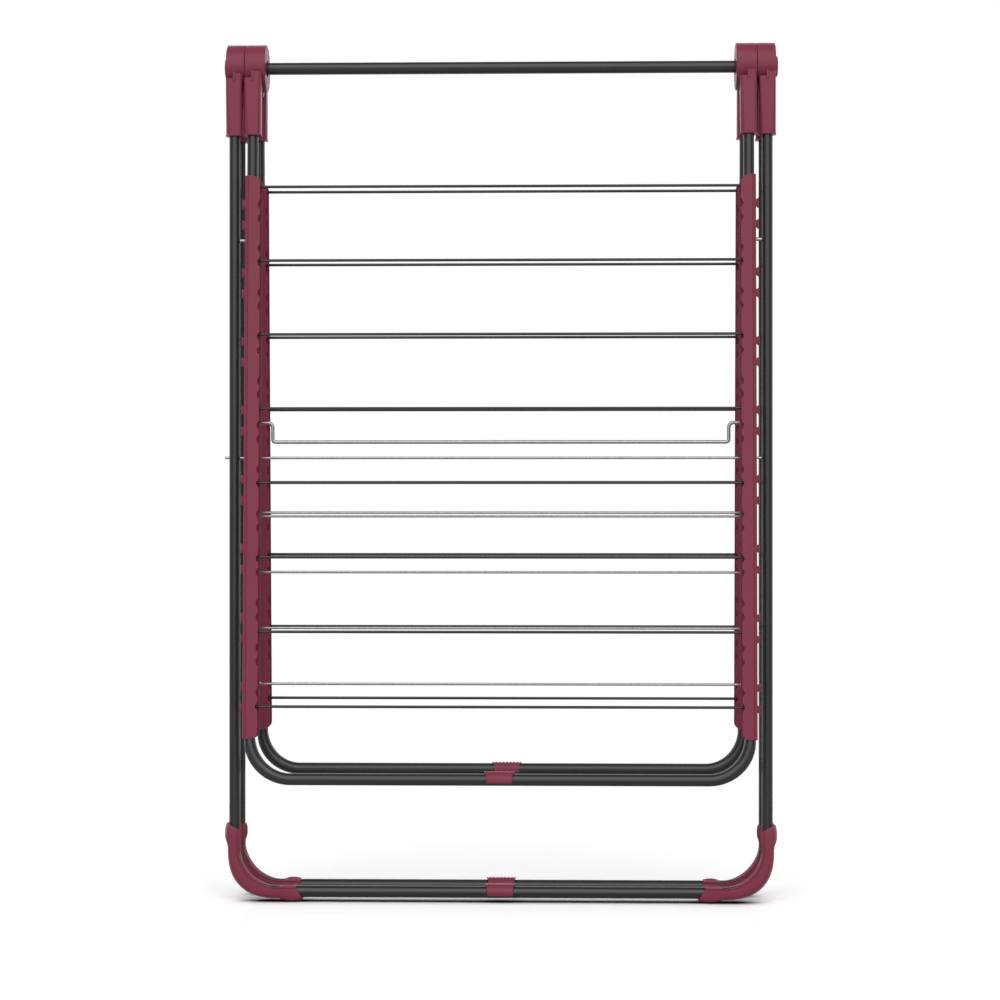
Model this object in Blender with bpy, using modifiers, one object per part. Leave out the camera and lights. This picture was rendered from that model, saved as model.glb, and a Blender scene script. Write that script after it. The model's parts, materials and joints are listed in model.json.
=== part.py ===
"""Folding clothes drying rack, shown closed.

Two U-shaped leg frames and two U-shaped wing frames turn on one top bar.
Each frame hangs from a pair of moulded hinge arms, and the arms of the front
and rear frames interlock like a fork and a tongue. Metres, +Z up, front at -Y.
The origin is on the floor, under the middle of the folded rack. The rear
wing leans out further than the front one, so the hinge axis lies a little
in front of the origin.
"""
import math

import bmesh
import bpy
from mathutils import Matrix, Vector

# Overall sizes
AXIS_HEIGHT = 1.242
LEG_SPAN = 0.790
FRAME_STEP = 0.028
CLEARANCE = 0.0003
WELD_DISTANCE = 0.000001
SHARP_ANGLE = math.radians(35)

# Leg and wing frames, bent from steel tube
TUBE_D = 0.016
TUBE_WALL = 0.001
LEG_OFFSET = 0.030
WING_OFFSET = 0.0335
LEG_BEND_R = 0.062
WING_BEND_R = 0.0605
FRONT_SPLAY = math.radians(2.4)
REAR_SPLAY = math.radians(2.8)
BEND_STEPS = 5
TUBE_SIDES_RESOLUTION = 3
HOLE_SEGMENTS = 8

# Travel of the joints that the hinge heads leave room for
LEG_TRAVEL = math.radians(27)
WING_TRAVEL = math.radians(74)

# Top bar and its end caps
BAR_D = 0.018
BAR_WALL = 0.001
CAP_D = 0.031
CAP_THICKNESS = 0.004
CAP_ROUND = 0.0025
SPIGOT_LENGTH = 0.012
SPIGOT_GAP = 0.0004
CAP_STEPS = 14

# Hinge heads
HEAD_R = 0.035
HEAD_CHAMFER = 0.0014
HEAD_SEGMENTS = 24
LEG_HEAD_W = 0.0275
WING_HEAD_W = 0.0305
HEAD_SEAM = 0.0145
HEAD_GAP = 0.0006
SHELL_WALL = 0.003
TONGUE_W = 0.011
NECK_START = math.radians(0)
NECK_END = math.radians(16)
SLOT_MARGIN = math.radians(2)
BRIDGE_W = 0.020
BRIDGE_THICKNESS = 0.006
BRIDGE_END = math.radians(42)
NECK_OVERLAP = 0.002
CUT_OVERRUN = 0.006

# Sleeves below the hinge heads
SLEEVE_D = 0.0246
SLEEVE_LENGTH = 0.106
SLEEVE_TOP = 0.006
SLEEVE_FACE_INSET = 0.001
NECK_DROP = 0.034
SOCKET_TOP = 0.038
SOCKET_GAP = 0.0005
RIM_D = 0.0264
RIM_HEIGHT = 0.0022
TIGHT_CORNER_R = 0.0022
TIGHT_END_R = 0.0090
EASY_CORNER_R = 0.0045
EASY_END_R = 0.0063
SLEEVE_CORNER_STEPS = 2

# Feet over the leg bends
SOLE_HEIGHT = 0.0134
FOOT_STRAIGHT = 0.0402
FOOT_SLANT = 0.012
FOOT_TIP_R = 0.0098
FOOT_NECK_R = 0.0106
FOOT_MIDDLE_R = 0.0150
LOBE_SIDE_R = 0.0156
LOBE_SOLE_R = 0.0144
LOBE_AT = 0.0168
LOBE_FLAT = 0.0030
LOBE_FALL = 0.0190
FOOT_COVER = math.radians(135)
MIDDLE_COVER = math.radians(150)
FOOT_RISE_SHARES = (0.0, 0.25, 1.0)
FOOT_FALL_SHARES = (0.0, 0.5)
FOOT_ARC_SHARES = (-1.0, -0.72, -0.43, -0.14, 0.14, 0.43, 0.72, 1.0)

# Clips on the middle of each bottom tube
CLIP_W = 0.038
CLIP_WALL = 0.0026
CLIP_COVER = math.radians(122)
CLIP_ARC_POINTS = 9
COMB_W = 0.0415
COMB_RISE = 0.0035
COMB_DEPTH = 0.0100
COMB_TEETH = 8
TOOTH_HEIGHT = 0.0009
REAR_CLIP_SHIFT = 0.007

# Rails that grip the drying wires
RAIL_START = 0.1681
RAIL_LENGTH = 0.8315
RAIL_WALL = 0.0014
RAIL_WEB = 0.0021
RAIL_CORNER_R = 0.0042
RAIL_CORNER_STEPS = 2
FLANGE_REACH = 0.0122
NOTCH_REACH = 0.0086
REAR_FLANGE_REACH = 0.0132
SCALLOP_TOP_MARGIN = 0.0532
SCALLOP_BOTTOM_MARGIN = 0.0578
SCALLOP_COUNT = 12
SMALL_LOBE = 0.0206
RAIL_TOP_R = 0.0125
RAIL_BOTTOM_R = 0.0115
RAIL_END_STEPS = 3
LUG_TOP_MARGIN = 0.0417
LUG_BOTTOM_MARGIN = 0.0446
LUG_SPACING = 0.0312
LUG_PAIRS = 8
LUG_STEM = 0.0022
LUG_STEM_HEIGHT = 0.0108
LUG_HEAD = 0.0021
LUG_HEAD_HEIGHT = 0.0136
LUG_DEPTH = 0.0080

# Drying wires
WIRE_D = 0.0036
WIRE_TOP_MARGIN = 0.0145
WIRE_BOTTOM_MARGIN = 0.0470
WIRE_COUNT = 8

# Wire stay that holds the front wing up
STAY_D = 0.0050
STAY_PIVOT = 0.2607
STAY_ARM_INSET = 0.0315
STAY_BAR_INSET = 0.0567
STAY_JOG = 0.2712
STAY_REACH = 0.2998
STAY_PIN_BEND_R = 0.006
STAY_JOG_BEND_R = 0.007
STAY_CORNER_R = 0.0045
STAY_BEND_STEPS = 2

# Wire shelf between the legs, and the rod that carries it
ROD_D = 0.0039
ROD_PIVOT = 0.584
ROD_LEFT_PROUD = 0.0065
ROD_RIGHT_SHORT = 0.0005
SHELF_WIRE_D = 0.0039
SHELF_SIDE_INSET = 0.0325
SHELF_LENGTH = 0.336
SHELF_FIRST_ROW = 0.0867
SHELF_GAPS = 3
SHELF_PAIR_SPACING = 0.0055
EYE_GAP = 0.0005
EYE_TURN = math.radians(300)
EYE_POINTS = 9
SHELF_CORNER_R = 0.008
SHELF_CORNER_STEPS = 2

LEG_X = LEG_SPAN / 2
WING_X = LEG_X - FRAME_STEP
TUBE_R = TUBE_D / 2
LEG_REACH = AXIS_HEIGHT - SOLE_HEIGHT
RAIL_END = RAIL_START + RAIL_LENGTH
WING_REACH = RAIL_END + WING_BEND_R + CLEARANCE
WIRE_PITCH = (RAIL_LENGTH - WIRE_TOP_MARGIN - WIRE_BOTTOM_MARGIN) / (WIRE_COUNT - 1)
SCALLOP_PITCH = (RAIL_LENGTH - SCALLOP_TOP_MARGIN - SCALLOP_BOTTOM_MARGIN) / (SCALLOP_COUNT - 1)
LUG_PITCH = (RAIL_LENGTH - LUG_TOP_MARGIN - LUG_BOTTOM_MARGIN - LUG_SPACING) / (LUG_PAIRS - 1)
TUBE_TOP = SOCKET_TOP + CLEARANCE
FRONT_LEAN = WING_OFFSET * math.cos(FRONT_SPLAY) + WING_REACH * math.sin(FRONT_SPLAY)
REAR_LEAN = WING_OFFSET * math.cos(REAR_SPLAY) + WING_REACH * math.sin(REAR_SPLAY)
AXIS_Y = (FRONT_LEAN - REAR_LEAN) / 2
SEAM_X = LEG_X - HEAD_SEAM
HEAD_OUTER_X = SEAM_X + CLEARANCE + LEG_HEAD_W
FRONT, REAR = -1, 1
LEFT, RIGHT = -1, 1
SIDE_NAMES = {LEFT: "left", RIGHT: "right"}
END_NAMES = {FRONT: "front", REAR: "rear"}


def clear_scene():
    for old in list(bpy.data.objects):
        bpy.data.objects.remove(old, do_unlink=True)


def make_collection(name):
    collection = bpy.data.collections.new(name)
    bpy.context.scene.collection.children.link(collection)
    return collection


def make_material(name, colour, roughness, metallic):
    material = bpy.data.materials.new(name)
    material.use_nodes = True
    shader = material.node_tree.nodes["Principled BSDF"]
    shader.inputs["Base Color"].default_value = (*colour, 1)
    shader.inputs["Roughness"].default_value = roughness
    shader.inputs["Metallic"].default_value = metallic
    material.diffuse_color = (*colour, 1)
    return material


clear_scene()
PARTS = make_collection("clothes_drying_rack")
CUTTERS = make_collection("cutters")
PLASTIC = make_material("burgundy_plastic", (0.20, 0.045, 0.075), 0.42, 0.0)
PAINT = make_material("charcoal_paint", (0.045, 0.045, 0.046), 0.35, 0.0)
ZINC = make_material("zinc_wire", (0.55, 0.55, 0.56), 0.30, 1.0)


def pivot(name, location, angle=0.0, parent=None):
    """An empty on a joint's axis, which carries the pieces that turn on it."""
    empty = bpy.data.objects.new(name, None)
    PARTS.objects.link(empty)
    empty.parent = parent
    empty.location = location
    empty.rotation_euler = (angle, 0, 0)
    return empty


def place_part(obj, name, carrier, material):
    obj.name = name
    obj.data.name = name
    obj.parent = carrier
    obj.data.materials.clear()
    obj.data.materials.append(material)
    obj.data.shade_smooth()
    obj.data.set_sharp_from_angle(angle=SHARP_ANGLE)
    PARTS.objects.link(obj)
    return obj


def place_cutter(obj, carrier):
    obj.parent = carrier
    obj.hide_render = True
    obj.display_type = 'WIRE'
    CUTTERS.objects.link(obj)
    return obj


def combine(obj, operation, others, carrier):
    for other in others:
        place_cutter(other, carrier)
        modifier = obj.modifiers.new(operation.lower(), 'BOOLEAN')
        modifier.operation = operation
        modifier.solver = 'EXACT'
        modifier.object = other
    return obj


def mesh_object(name, bm):
    bmesh.ops.recalc_face_normals(bm, faces=bm.faces)
    mesh = bpy.data.meshes.new(name)
    bm.to_mesh(mesh)
    bm.free()
    return bpy.data.objects.new(name, mesh)


def curve_to_mesh(curve_object, place=Matrix.Identity(4)):
    """A mesh object with the curve's evaluated shape and welded caps."""
    bpy.context.scene.collection.objects.link(curve_object)
    bpy.context.view_layer.update()
    evaluated = curve_object.evaluated_get(bpy.context.evaluated_depsgraph_get())
    mesh = bpy.data.meshes.new_from_object(evaluated)
    bm = bmesh.new()
    bm.from_mesh(mesh)
    bmesh.ops.remove_doubles(bm, verts=bm.verts, dist=WELD_DISTANCE)
    bmesh.ops.transform(bm, matrix=place, verts=bm.verts)
    bm.to_mesh(mesh)
    bm.free()
    name = curve_object.name
    bpy.data.objects.remove(curve_object, do_unlink=True)
    return bpy.data.objects.new(name, mesh)


def facing_x(x):
    """Places an outline drawn in (Y, Z) at x, with its thickness along X."""
    return Matrix(((0, 0, 1, x), (1, 0, 0, 0), (0, 1, 0, 0), (0, 0, 0, 1)))


def facing_y(y):
    """Places an outline drawn in (X, Z) at y, with its thickness along Y."""
    return Matrix(((1, 0, 0, 0), (0, 0, -1, y), (0, 1, 0, 0), (0, 0, 0, 1)))


def facing_z(z):
    return Matrix.Translation((0, 0, z))


def plate(name, outline, thickness, place):
    """A flat outline with a thickness, from a filled 2D curve."""
    curve = bpy.data.curves.new(name, 'CURVE')
    curve.dimensions = '2D'
    curve.fill_mode = 'BOTH'
    curve.extrude = thickness / 2
    spline = curve.splines.new('POLY')
    spline.points.add(len(outline) - 1)
    for point, (u, v) in zip(spline.points, outline):
        point.co = (u, v, 0, 1)
    spline.use_cyclic_u = True
    return curve_to_mesh(bpy.data.objects.new(name, curve), place)


def wire(name, points, diameter, resolution, capped=True):
    """A round bar or tube skin along the points, from a bevelled curve."""
    curve = bpy.data.curves.new(name, 'CURVE')
    curve.dimensions = '3D'
    curve.bevel_depth = diameter / 2
    curve.bevel_resolution = resolution
    curve.use_fill_caps = capped
    spline = curve.splines.new('POLY')
    spline.points.add(len(points) - 1)
    for point, position in zip(spline.points, points):
        point.co = (*position, 1)
    return curve_to_mesh(bpy.data.objects.new(name, curve))


def hollow_tube(name, points, diameter, wall):
    """An open-ended tube: a bevelled curve's skin, thickened inwards."""
    tube = wire(name, points, diameter, TUBE_SIDES_RESOLUTION, capped=False)
    solidify = tube.modifiers.new("wall", 'SOLIDIFY')
    solidify.thickness = wall
    solidify.offset = -1
    return tube


def cylinder(name, radius, start, end, segments, chamfer=0.0):
    """A cylinder from start to end, optionally with chamfered rims."""
    start, end = Vector(start), Vector(end)
    axis = end - start
    bm = bmesh.new()
    bmesh.ops.create_cone(bm, cap_ends=True, segments=segments,
                          radius1=radius, radius2=radius, depth=axis.length)
    if chamfer:
        rims = [e for e in bm.edges if abs(e.verts[0].co.z - e.verts[1].co.z) < axis.length / 2]
        bmesh.ops.bevel(bm, geom=rims, offset=chamfer, segments=1, affect='EDGES')
    turn = axis.to_track_quat('Z', 'Y').to_matrix().to_4x4()
    place = Matrix.Translation((start + end) / 2) @ turn
    bmesh.ops.transform(bm, matrix=place, verts=bm.verts)
    return mesh_object(name, bm)


def loft(name, rings):
    """A skin through rings of equal length, with both ends filled."""
    bm = bmesh.new()
    loops = [[bm.verts.new(point) for point in ring] for ring in rings]
    count = len(rings[0])
    for lower, upper in zip(loops, loops[1:]):
        for i in range(count):
            j = (i + 1) % count
            bm.faces.new((lower[i], lower[j], upper[j], upper[i]))
    bm.faces.new(loops[0])
    bm.faces.new(loops[-1])
    return mesh_object(name, bm)


def fillet(corners, radii, steps):
    """The polyline through corners, each inner corner rounded by its radius."""
    corners = [Vector(c) for c in corners]
    points = [corners[0]]
    for before, corner, after, radius in zip(corners, corners[1:], corners[2:], radii):
        inward = (before - corner).normalized()
        outward = (after - corner).normalized()
        half = inward.angle(outward) / 2
        tangent = radius / math.tan(half)
        centre = corner + (inward + outward).normalized() * radius / math.sin(half)
        start = corner + inward * tangent - centre
        axis = start.cross(corner + outward * tangent - centre).normalized()
        sweep = math.pi - 2 * half
        for step in range(steps + 1):
            turn = Matrix.Rotation(sweep * step / steps, 3, axis)
            points.append(centre + turn @ start)
    points.append(corners[-1])
    return points


def arc(radius, start, end, steps):
    """Points in (Y, Z) on a circle round the hinge axis, from straight down towards +Y."""
    angles = [start + (end - start) * i / steps for i in range(steps + 1)]
    return [(radius * math.sin(a), -radius * math.cos(a)) for a in angles]


def mirrored(outline, side):
    """An outline drawn for the rear, turned to the side that it is for."""
    return [(u * side, v) for u, v in outline]


def clear_radius(radius, step):
    """The corner radius of an arc whose flats stay clear of a round of this radius."""
    return (radius + CLEARANCE) / math.cos(step / 2)


def arc_steps(start, end):
    """Facets for an arc, as fine as the hinge head's own."""
    return max(2, round(abs(end - start) / math.tau * HEAD_SEGMENTS))


def sleeve_ring(x, y, depth, width, share, side):
    """A square ring with round corners, two of them tight at the sleeve's top."""
    growth = (width - SLEEVE_D) / 2
    tight = TIGHT_CORNER_R + (TIGHT_END_R - TIGHT_CORNER_R) * share + growth
    easy = EASY_CORNER_R + (EASY_END_R - EASY_CORNER_R) * share + growth
    ring = []
    for quarter, (x_sign, y_sign) in enumerate(((1, 1), (-1, 1), (-1, -1), (1, -1))):
        corner = tight if x_sign == side else easy
        for step in range(SLEEVE_CORNER_STEPS + 1):
            angle = math.pi / 2 * (quarter + step / SLEEVE_CORNER_STEPS)
            ring.append((x + x_sign * (width / 2 - corner) + corner * math.cos(angle),
                         y + y_sign * (width / 2 - corner) + corner * math.sin(angle), -depth))
    return ring


def sleeve(name, x, offset, side):
    """The cranked socket: square where it leaves the head, rounder towards its rim."""
    top_centre = HEAD_R - SLEEVE_FACE_INSET - SLEEVE_D / 2
    rim_top = SLEEVE_LENGTH - RIM_HEIGHT
    sections = [
        (SLEEVE_TOP, top_centre, SLEEVE_D),
        (NECK_DROP, offset, SLEEVE_D),
        (rim_top, offset, SLEEVE_D),
        (rim_top, offset, RIM_D),
        (SLEEVE_LENGTH, offset, RIM_D),
    ]
    rings = []
    for depth, centre, width in sections:
        share = min(1, (depth - SLEEVE_TOP) / (rim_top - SLEEVE_TOP))
        rings.append(sleeve_ring(x, side * centre, depth, width, share, side))
    return loft(name, rings)


def arm_bores(x, head_inner, head_outer, offset, side):
    """Cutters for the bar's bore and the tube's socket."""
    bar_bore = cylinder("bar_bore", BAR_D / 2 + HEAD_GAP,
                        (head_inner - CUT_OVERRUN, 0, 0), (head_outer + CUT_OVERRUN, 0, 0),
                        HEAD_SEGMENTS // 2)
    socket = cylinder("tube_socket", TUBE_R + SOCKET_GAP,
                      (x, side * offset, -SLEEVE_LENGTH - CUT_OVERRUN),
                      (x, side * offset, -SOCKET_TOP), HEAD_SEGMENTS // 2)
    return [bar_bore, socket]


def fork_arm(name, carrier, side, x, head_inner, head_outer, offset, travel):
    """An arm whose head is a drum with a slot for the other arm's tongue."""
    head = cylinder(name, HEAD_R, (head_inner, 0, 0), (head_outer, 0, 0),
                    HEAD_SEGMENTS, HEAD_CHAMFER)
    combine(head, 'UNION', [sleeve("sleeve", x, offset, side)], carrier)
    open_start = NECK_START - SLOT_MARGIN
    open_end = NECK_END + travel + SLOT_MARGIN
    inner_r = HEAD_R - SHELL_WALL
    outline = arc(HEAD_R + CUT_OVERRUN, open_start, open_end, arc_steps(open_start, open_end))
    outline += arc(inner_r, open_end, open_start + math.tau, arc_steps(open_end, math.tau))
    slot = plate("slot", mirrored(outline, -side), TONGUE_W + 2 * CLEARANCE,
                 facing_x((head_inner + head_outer) / 2))
    combine(head, 'DIFFERENCE', [slot] + arm_bores(x, head_inner, head_outer, offset, side), carrier)
    return place_part(head, name, carrier, PLASTIC)


def tongue_arm(name, carrier, side, x, head_inner, head_outer, offset):
    """An arm whose head is a tongue that turns inside the other arm's slot."""
    middle = (head_inner + head_outer) / 2
    clear_r = HEAD_R + HEAD_GAP
    body = sleeve(name, x, offset, side)
    room = cylinder("head_room", clear_r, (head_inner - CUT_OVERRUN, 0, 0),
                    (head_outer + CUT_OVERRUN, 0, 0), HEAD_SEGMENTS)
    combine(body, 'DIFFERENCE', [room], carrier)
    bridge_outline = arc(clear_r, NECK_START, BRIDGE_END, arc_steps(NECK_START, BRIDGE_END))
    bridge_outline += arc(clear_r + BRIDGE_THICKNESS, BRIDGE_END, NECK_START,
                          arc_steps(NECK_START, BRIDGE_END))
    bridge = plate("bridge", mirrored(bridge_outline, side), BRIDGE_W, facing_x(x))
    tongue_r = HEAD_R - SHELL_WALL - HEAD_GAP
    tongue_outline = arc(clear_r + NECK_OVERLAP, NECK_START, NECK_END,
                         arc_steps(NECK_START, NECK_END))
    tongue_outline += arc(tongue_r, NECK_END, NECK_START + math.tau,
                          arc_steps(NECK_END, math.tau))
    tongue = plate("tongue", mirrored(tongue_outline, side), TONGUE_W, facing_x(middle))
    combine(body, 'UNION', [bridge, tongue], carrier)
    combine(body, 'DIFFERENCE', arm_bores(x, head_inner, head_outer, offset, side), carrier)
    return place_part(body, name, carrier, PLASTIC)


def hinge_arms(family, carriers, tube_x, inner_x, outer_x, offset, travel):
    for hand in (LEFT, RIGHT):
        low, high = sorted((hand * inner_x, hand * outer_x))
        fork_arm(f"front_{family}_arm_{SIDE_NAMES[hand]}", carriers[FRONT], FRONT,
                 hand * tube_x, low, high, offset, travel)
        tongue_arm(f"rear_{family}_arm_{SIDE_NAMES[hand]}", carriers[REAR], REAR,
                   hand * tube_x, low, high, offset)


def frame_points(half_span, y, reach, bend_r):
    corners = [(-half_span, y, -TUBE_TOP), (-half_span, y, -reach),
               (half_span, y, -reach), (half_span, y, -TUBE_TOP)]
    return fillet(corners, (bend_r, bend_r), BEND_STEPS)


def pin_hole(name, diameter, start_x, end_x, y, z):
    """A cutter along X, turned so that none of its corners meets an edge of the tube."""
    hole = cylinder(name, diameter / 2 + CLEARANCE, (start_x, 0, 0), (end_x, 0, 0), HOLE_SEGMENTS)
    half_facet = Matrix.Rotation(math.pi / HOLE_SEGMENTS, 4, 'X')
    hole.data.transform(Matrix.Translation((0, y, z)) @ half_facet)
    return hole


def leg_frame(side, carrier):
    y = side * LEG_OFFSET
    frame = hollow_tube(f"{END_NAMES[side]}_leg_frame",
                        frame_points(LEG_X, y, LEG_REACH, LEG_BEND_R), TUBE_D, TUBE_WALL)
    if side == FRONT:
        holes = []
        for hand in (LEFT, RIGHT):
            inside = hand * (LEG_X - TUBE_D)
            outside = hand * (LEG_X + TUBE_D)
            holes.append(pin_hole("stay_hole", STAY_D, inside, hand * LEG_X, y, -STAY_PIVOT))
            holes.append(pin_hole("rod_hole", ROD_D, inside, outside, y, -ROD_PIVOT))
        combine(frame, 'DIFFERENCE', holes, carrier)
    return place_part(frame, frame.name, carrier, PAINT)


def wing_frame(side, carrier):
    frame = hollow_tube(f"{END_NAMES[side]}_wing_frame",
                        frame_points(WING_X, side * WING_OFFSET, WING_REACH, WING_BEND_R),
                        TUBE_D, TUBE_WALL)
    return place_part(frame, frame.name, carrier, PAINT)


def bump(distance, centre, half, flat=0.0):
    """1 within the flat half length of the centre, falling smoothly to 0 at the half width."""
    share = max(0.0, abs(distance - centre) - flat) / (half - flat)
    return math.cos(math.pi / 2 * share) ** 2 if share < 1 else 0.0


def foot_stations(hand, y):
    """Centre points, tangents and distances to the nearer end, along the bend."""
    length = LEG_BEND_R + FOOT_STRAIGHT
    corner = (hand * LEG_X, y, -LEG_REACH)
    top = (hand * LEG_X, y, -LEG_REACH + length)
    inner = (hand * (LEG_X - length), y, -LEG_REACH)
    path = fillet([top, corner, inner], (LEG_BEND_R,), BEND_STEPS)
    near_end = [(LOBE_AT - LOBE_FLAT) * share for share in FOOT_RISE_SHARES]
    near_end += [LOBE_AT + LOBE_FLAT + LOBE_FALL * share for share in FOOT_FALL_SHARES]
    stations = [(path[0].lerp(path[1], along / FOOT_STRAIGHT), along) for along in near_end]
    distance = FOOT_STRAIGHT
    for centre, onward in zip(path[1:-1], path[2:]):
        stations.append((centre, distance))
        distance += (onward - centre).length
    total = distance
    stations += [(path[-1].lerp(path[-2], along / FOOT_STRAIGHT), total - along)
                 for along in reversed(near_end)]
    frames = []
    for i, (centre, along) in enumerate(stations):
        before = stations[max(i - 1, 0)][0]
        after = stations[min(i + 1, len(stations) - 1)][0]
        frames.append((centre, (after - before).normalized(), min(along, total - along), i))
    return frames


def foot_radius(distance, angle, middle):
    """Outer radius of the foot: a rounded tip, a swollen lip, a neck and a full middle."""
    lip_r = LOBE_SIDE_R + (LOBE_SOLE_R - LOBE_SIDE_R) * max(0.0, math.cos(angle))
    rise = LOBE_AT - LOBE_FLAT
    if distance < rise:
        left = 1 - distance / rise
        return FOOT_TIP_R + (lip_r - FOOT_TIP_R) * math.sqrt(1 - left ** 2)
    lip = bump(distance, LOBE_AT, LOBE_FLAT + LOBE_FALL, LOBE_FLAT)
    swell = bump(distance, middle, middle - LOBE_AT - LOBE_FLAT - LOBE_FALL)
    return FOOT_NECK_R + (lip_r - FOOT_NECK_R) * lip + (FOOT_MIDDLE_R - FOOT_NECK_R) * swell


def foot(side, hand, carrier):
    """A C-shaped elbow snapped over the bend, with a swollen lip at each end."""
    depth_axis = Vector((0, 1, 0))
    frames = foot_stations(hand, side * LEG_OFFSET)
    middle = max(distance for _, _, distance, _ in frames)
    widest_share = max(b - a for a, b in zip(FOOT_ARC_SHARES, FOOT_ARC_SHARES[1:]))
    rings = []
    for centre, tangent, distance, index in frames:
        outward = tangent.cross(depth_axis) * hand
        swell = bump(distance, middle, middle - LOBE_AT - LOBE_FLAT - LOBE_FALL)
        cover = FOOT_COVER + (MIDDLE_COVER - FOOT_COVER) * swell
        inner_r = clear_radius(TUBE_R, cover * widest_share)
        pull = FOOT_SLANT * max(0.0, 1 - distance / FOOT_STRAIGHT)
        towards_middle = 1 if index < len(frames) / 2 else -1
        outer, inner = [], []
        for share in FOOT_ARC_SHARES:
            angle = cover * share
            ray = outward * math.cos(angle) + depth_axis * math.sin(angle)
            slide = tangent * (towards_middle * pull * (1 - math.cos(angle)) / 2)
            skin = centre + slide + ray * foot_radius(distance, angle, middle)
            skin.z = max(skin.z, -AXIS_HEIGHT)
            outer.append(skin)
            inner.append(centre + slide + ray * inner_r)
        rings.append(outer + inner[::-1])
    name = f"{END_NAMES[side]}_foot_{SIDE_NAMES[hand]}"
    return place_part(loft(name, rings), name, carrier, PLASTIC)


def clip(name, carrier, y, reach, shift):
    """A spring clip over the bottom tube, with a toothed comb along its top."""
    inner_r = clear_radius(TUBE_R, 2 * CLIP_COVER / (CLIP_ARC_POINTS - 1))
    outer_r = inner_r + CLIP_WALL
    angles = [CLIP_COVER * (2 * i / (CLIP_ARC_POINTS - 1) - 1) for i in range(CLIP_ARC_POINTS)]
    outline = [(outer_r * math.sin(a), outer_r * math.cos(a)) for a in angles]
    outline += [(inner_r * math.sin(a), inner_r * math.cos(a)) for a in reversed(angles)]
    outline = [(u + y, v - reach) for u, v in outline]
    body = plate(name, outline, CLIP_W, facing_x(shift))
    base = -reach + outer_r - CLIP_WALL / 2
    top = -reach + inner_r + COMB_RISE
    root = CLIP_W / 2 - CLIP_WALL / 2
    comb = [(shift - root, base), (shift + root, base)]
    for i in range(2 * COMB_TEETH, -1, -1):
        x = shift + COMB_W * (i / (2 * COMB_TEETH) - 1 / 2)
        comb.append((x, top - TOOTH_HEIGHT * ((i + 1) % 2)))
    combine(body, 'UNION', [plate("comb", comb, COMB_DEPTH, facing_y(y))], carrier)
    return place_part(body, name, carrier, PLASTIC)


def channel_outline(hand, y):
    """The rail's section: a web outside the tube and a flange on each side of it."""
    inside = TUBE_R + CLEARANCE
    half_depth = inside + RAIL_WALL
    web_out = inside + RAIL_WEB
    corner = RAIL_CORNER_R
    outer = [(-REAR_FLANGE_REACH, half_depth)]
    for quarter in (0, 1):
        for step in range(RAIL_CORNER_STEPS + 1):
            angle = math.pi / 2 * (quarter + step / RAIL_CORNER_STEPS)
            cy = half_depth - corner if quarter == 0 else corner - half_depth
            outer.append((web_out - corner + corner * math.sin(angle),
                          cy + corner * math.cos(angle)))
    outer += [(-FLANGE_REACH, -half_depth), (-FLANGE_REACH, -inside)]
    outer += [(inside, -inside), (inside, inside), (-REAR_FLANGE_REACH, inside)]
    return [(hand * (WING_X + u), y + v) for u, v in outer]


def end_arc(x_sign, corner_x, end_z, z_sign, radius):
    """A quarter round that takes the inner corner off a rail's end."""
    points = []
    for step in range(RAIL_END_STEPS + 1):
        angle = math.pi / 2 * step / RAIL_END_STEPS
        points.append((corner_x + x_sign * radius * (1 - math.cos(angle)),
                       end_z - z_sign * radius * (1 - math.sin(angle))))
    return points


def scallop_cutter(hand, y):
    """Cuts the waves into the front flange, and rounds its inner corners."""
    lobe_x = hand * (WING_X - FLANGE_REACH)
    notch_x = hand * (WING_X - NOTCH_REACH)
    beyond_x = hand * (WING_X - REAR_FLANGE_REACH - CUT_OVERRUN)
    middle_x = (lobe_x * 3 + notch_x) / 4
    lobe_in = SMALL_LOBE / 4
    edge = []
    top_z = -RAIL_START
    edge += [(beyond_x, top_z + CUT_OVERRUN), (lobe_x + hand * RAIL_TOP_R, top_z + CUT_OVERRUN)]
    edge += end_arc(hand, lobe_x, top_z, 1, RAIL_TOP_R)[::-1]
    for i in range(SCALLOP_COUNT):
        centre = top_z - SCALLOP_TOP_MARGIN - SCALLOP_PITCH * i
        for share, x in ((1, notch_x), (1 / 2, middle_x), (0, lobe_x),
                         (-1 / 2, middle_x), (-1, notch_x)):
            if share == 1:
                edge.append((lobe_x, centre + SMALL_LOBE))
                edge.append((middle_x, centre + SMALL_LOBE / 2 + lobe_in))
            edge.append((x, centre + share * SMALL_LOBE / 2))
            if share == -1:
                edge.append((middle_x, centre - SMALL_LOBE / 2 - lobe_in))
                edge.append((lobe_x, centre - SMALL_LOBE))
    bottom_z = -RAIL_END
    edge += end_arc(hand, lobe_x, bottom_z, -1, RAIL_BOTTOM_R)
    edge += [(lobe_x + hand * RAIL_BOTTOM_R, bottom_z - CUT_OVERRUN),
             (beyond_x, bottom_z - CUT_OVERRUN)]
    depth = TUBE_R + RAIL_WALL
    return plate("scallops", edge, RAIL_WALL + TUBE_R, facing_y(y - depth))


def end_cutters(hand, y):
    """Round the inner corners of the rear flange."""
    lip_x = hand * (WING_X - REAR_FLANGE_REACH)
    beyond_x = lip_x - hand * CUT_OVERRUN
    cutters = []
    for z, z_sign, radius in ((-RAIL_START, 1, RAIL_TOP_R), (-RAIL_END, -1, RAIL_BOTTOM_R)):
        outline = [(beyond_x, z - z_sign * radius)] + end_arc(hand, lip_x, z, z_sign, radius)
        outline += [(lip_x + hand * radius, z + z_sign * CUT_OVERRUN),
                    (beyond_x, z + z_sign * CUT_OVERRUN)]
        cutters.append(plate("end_round", outline, RAIL_WALL + TUBE_R,
                             facing_y(y + TUBE_R + RAIL_WALL)))
    return cutters


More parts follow.
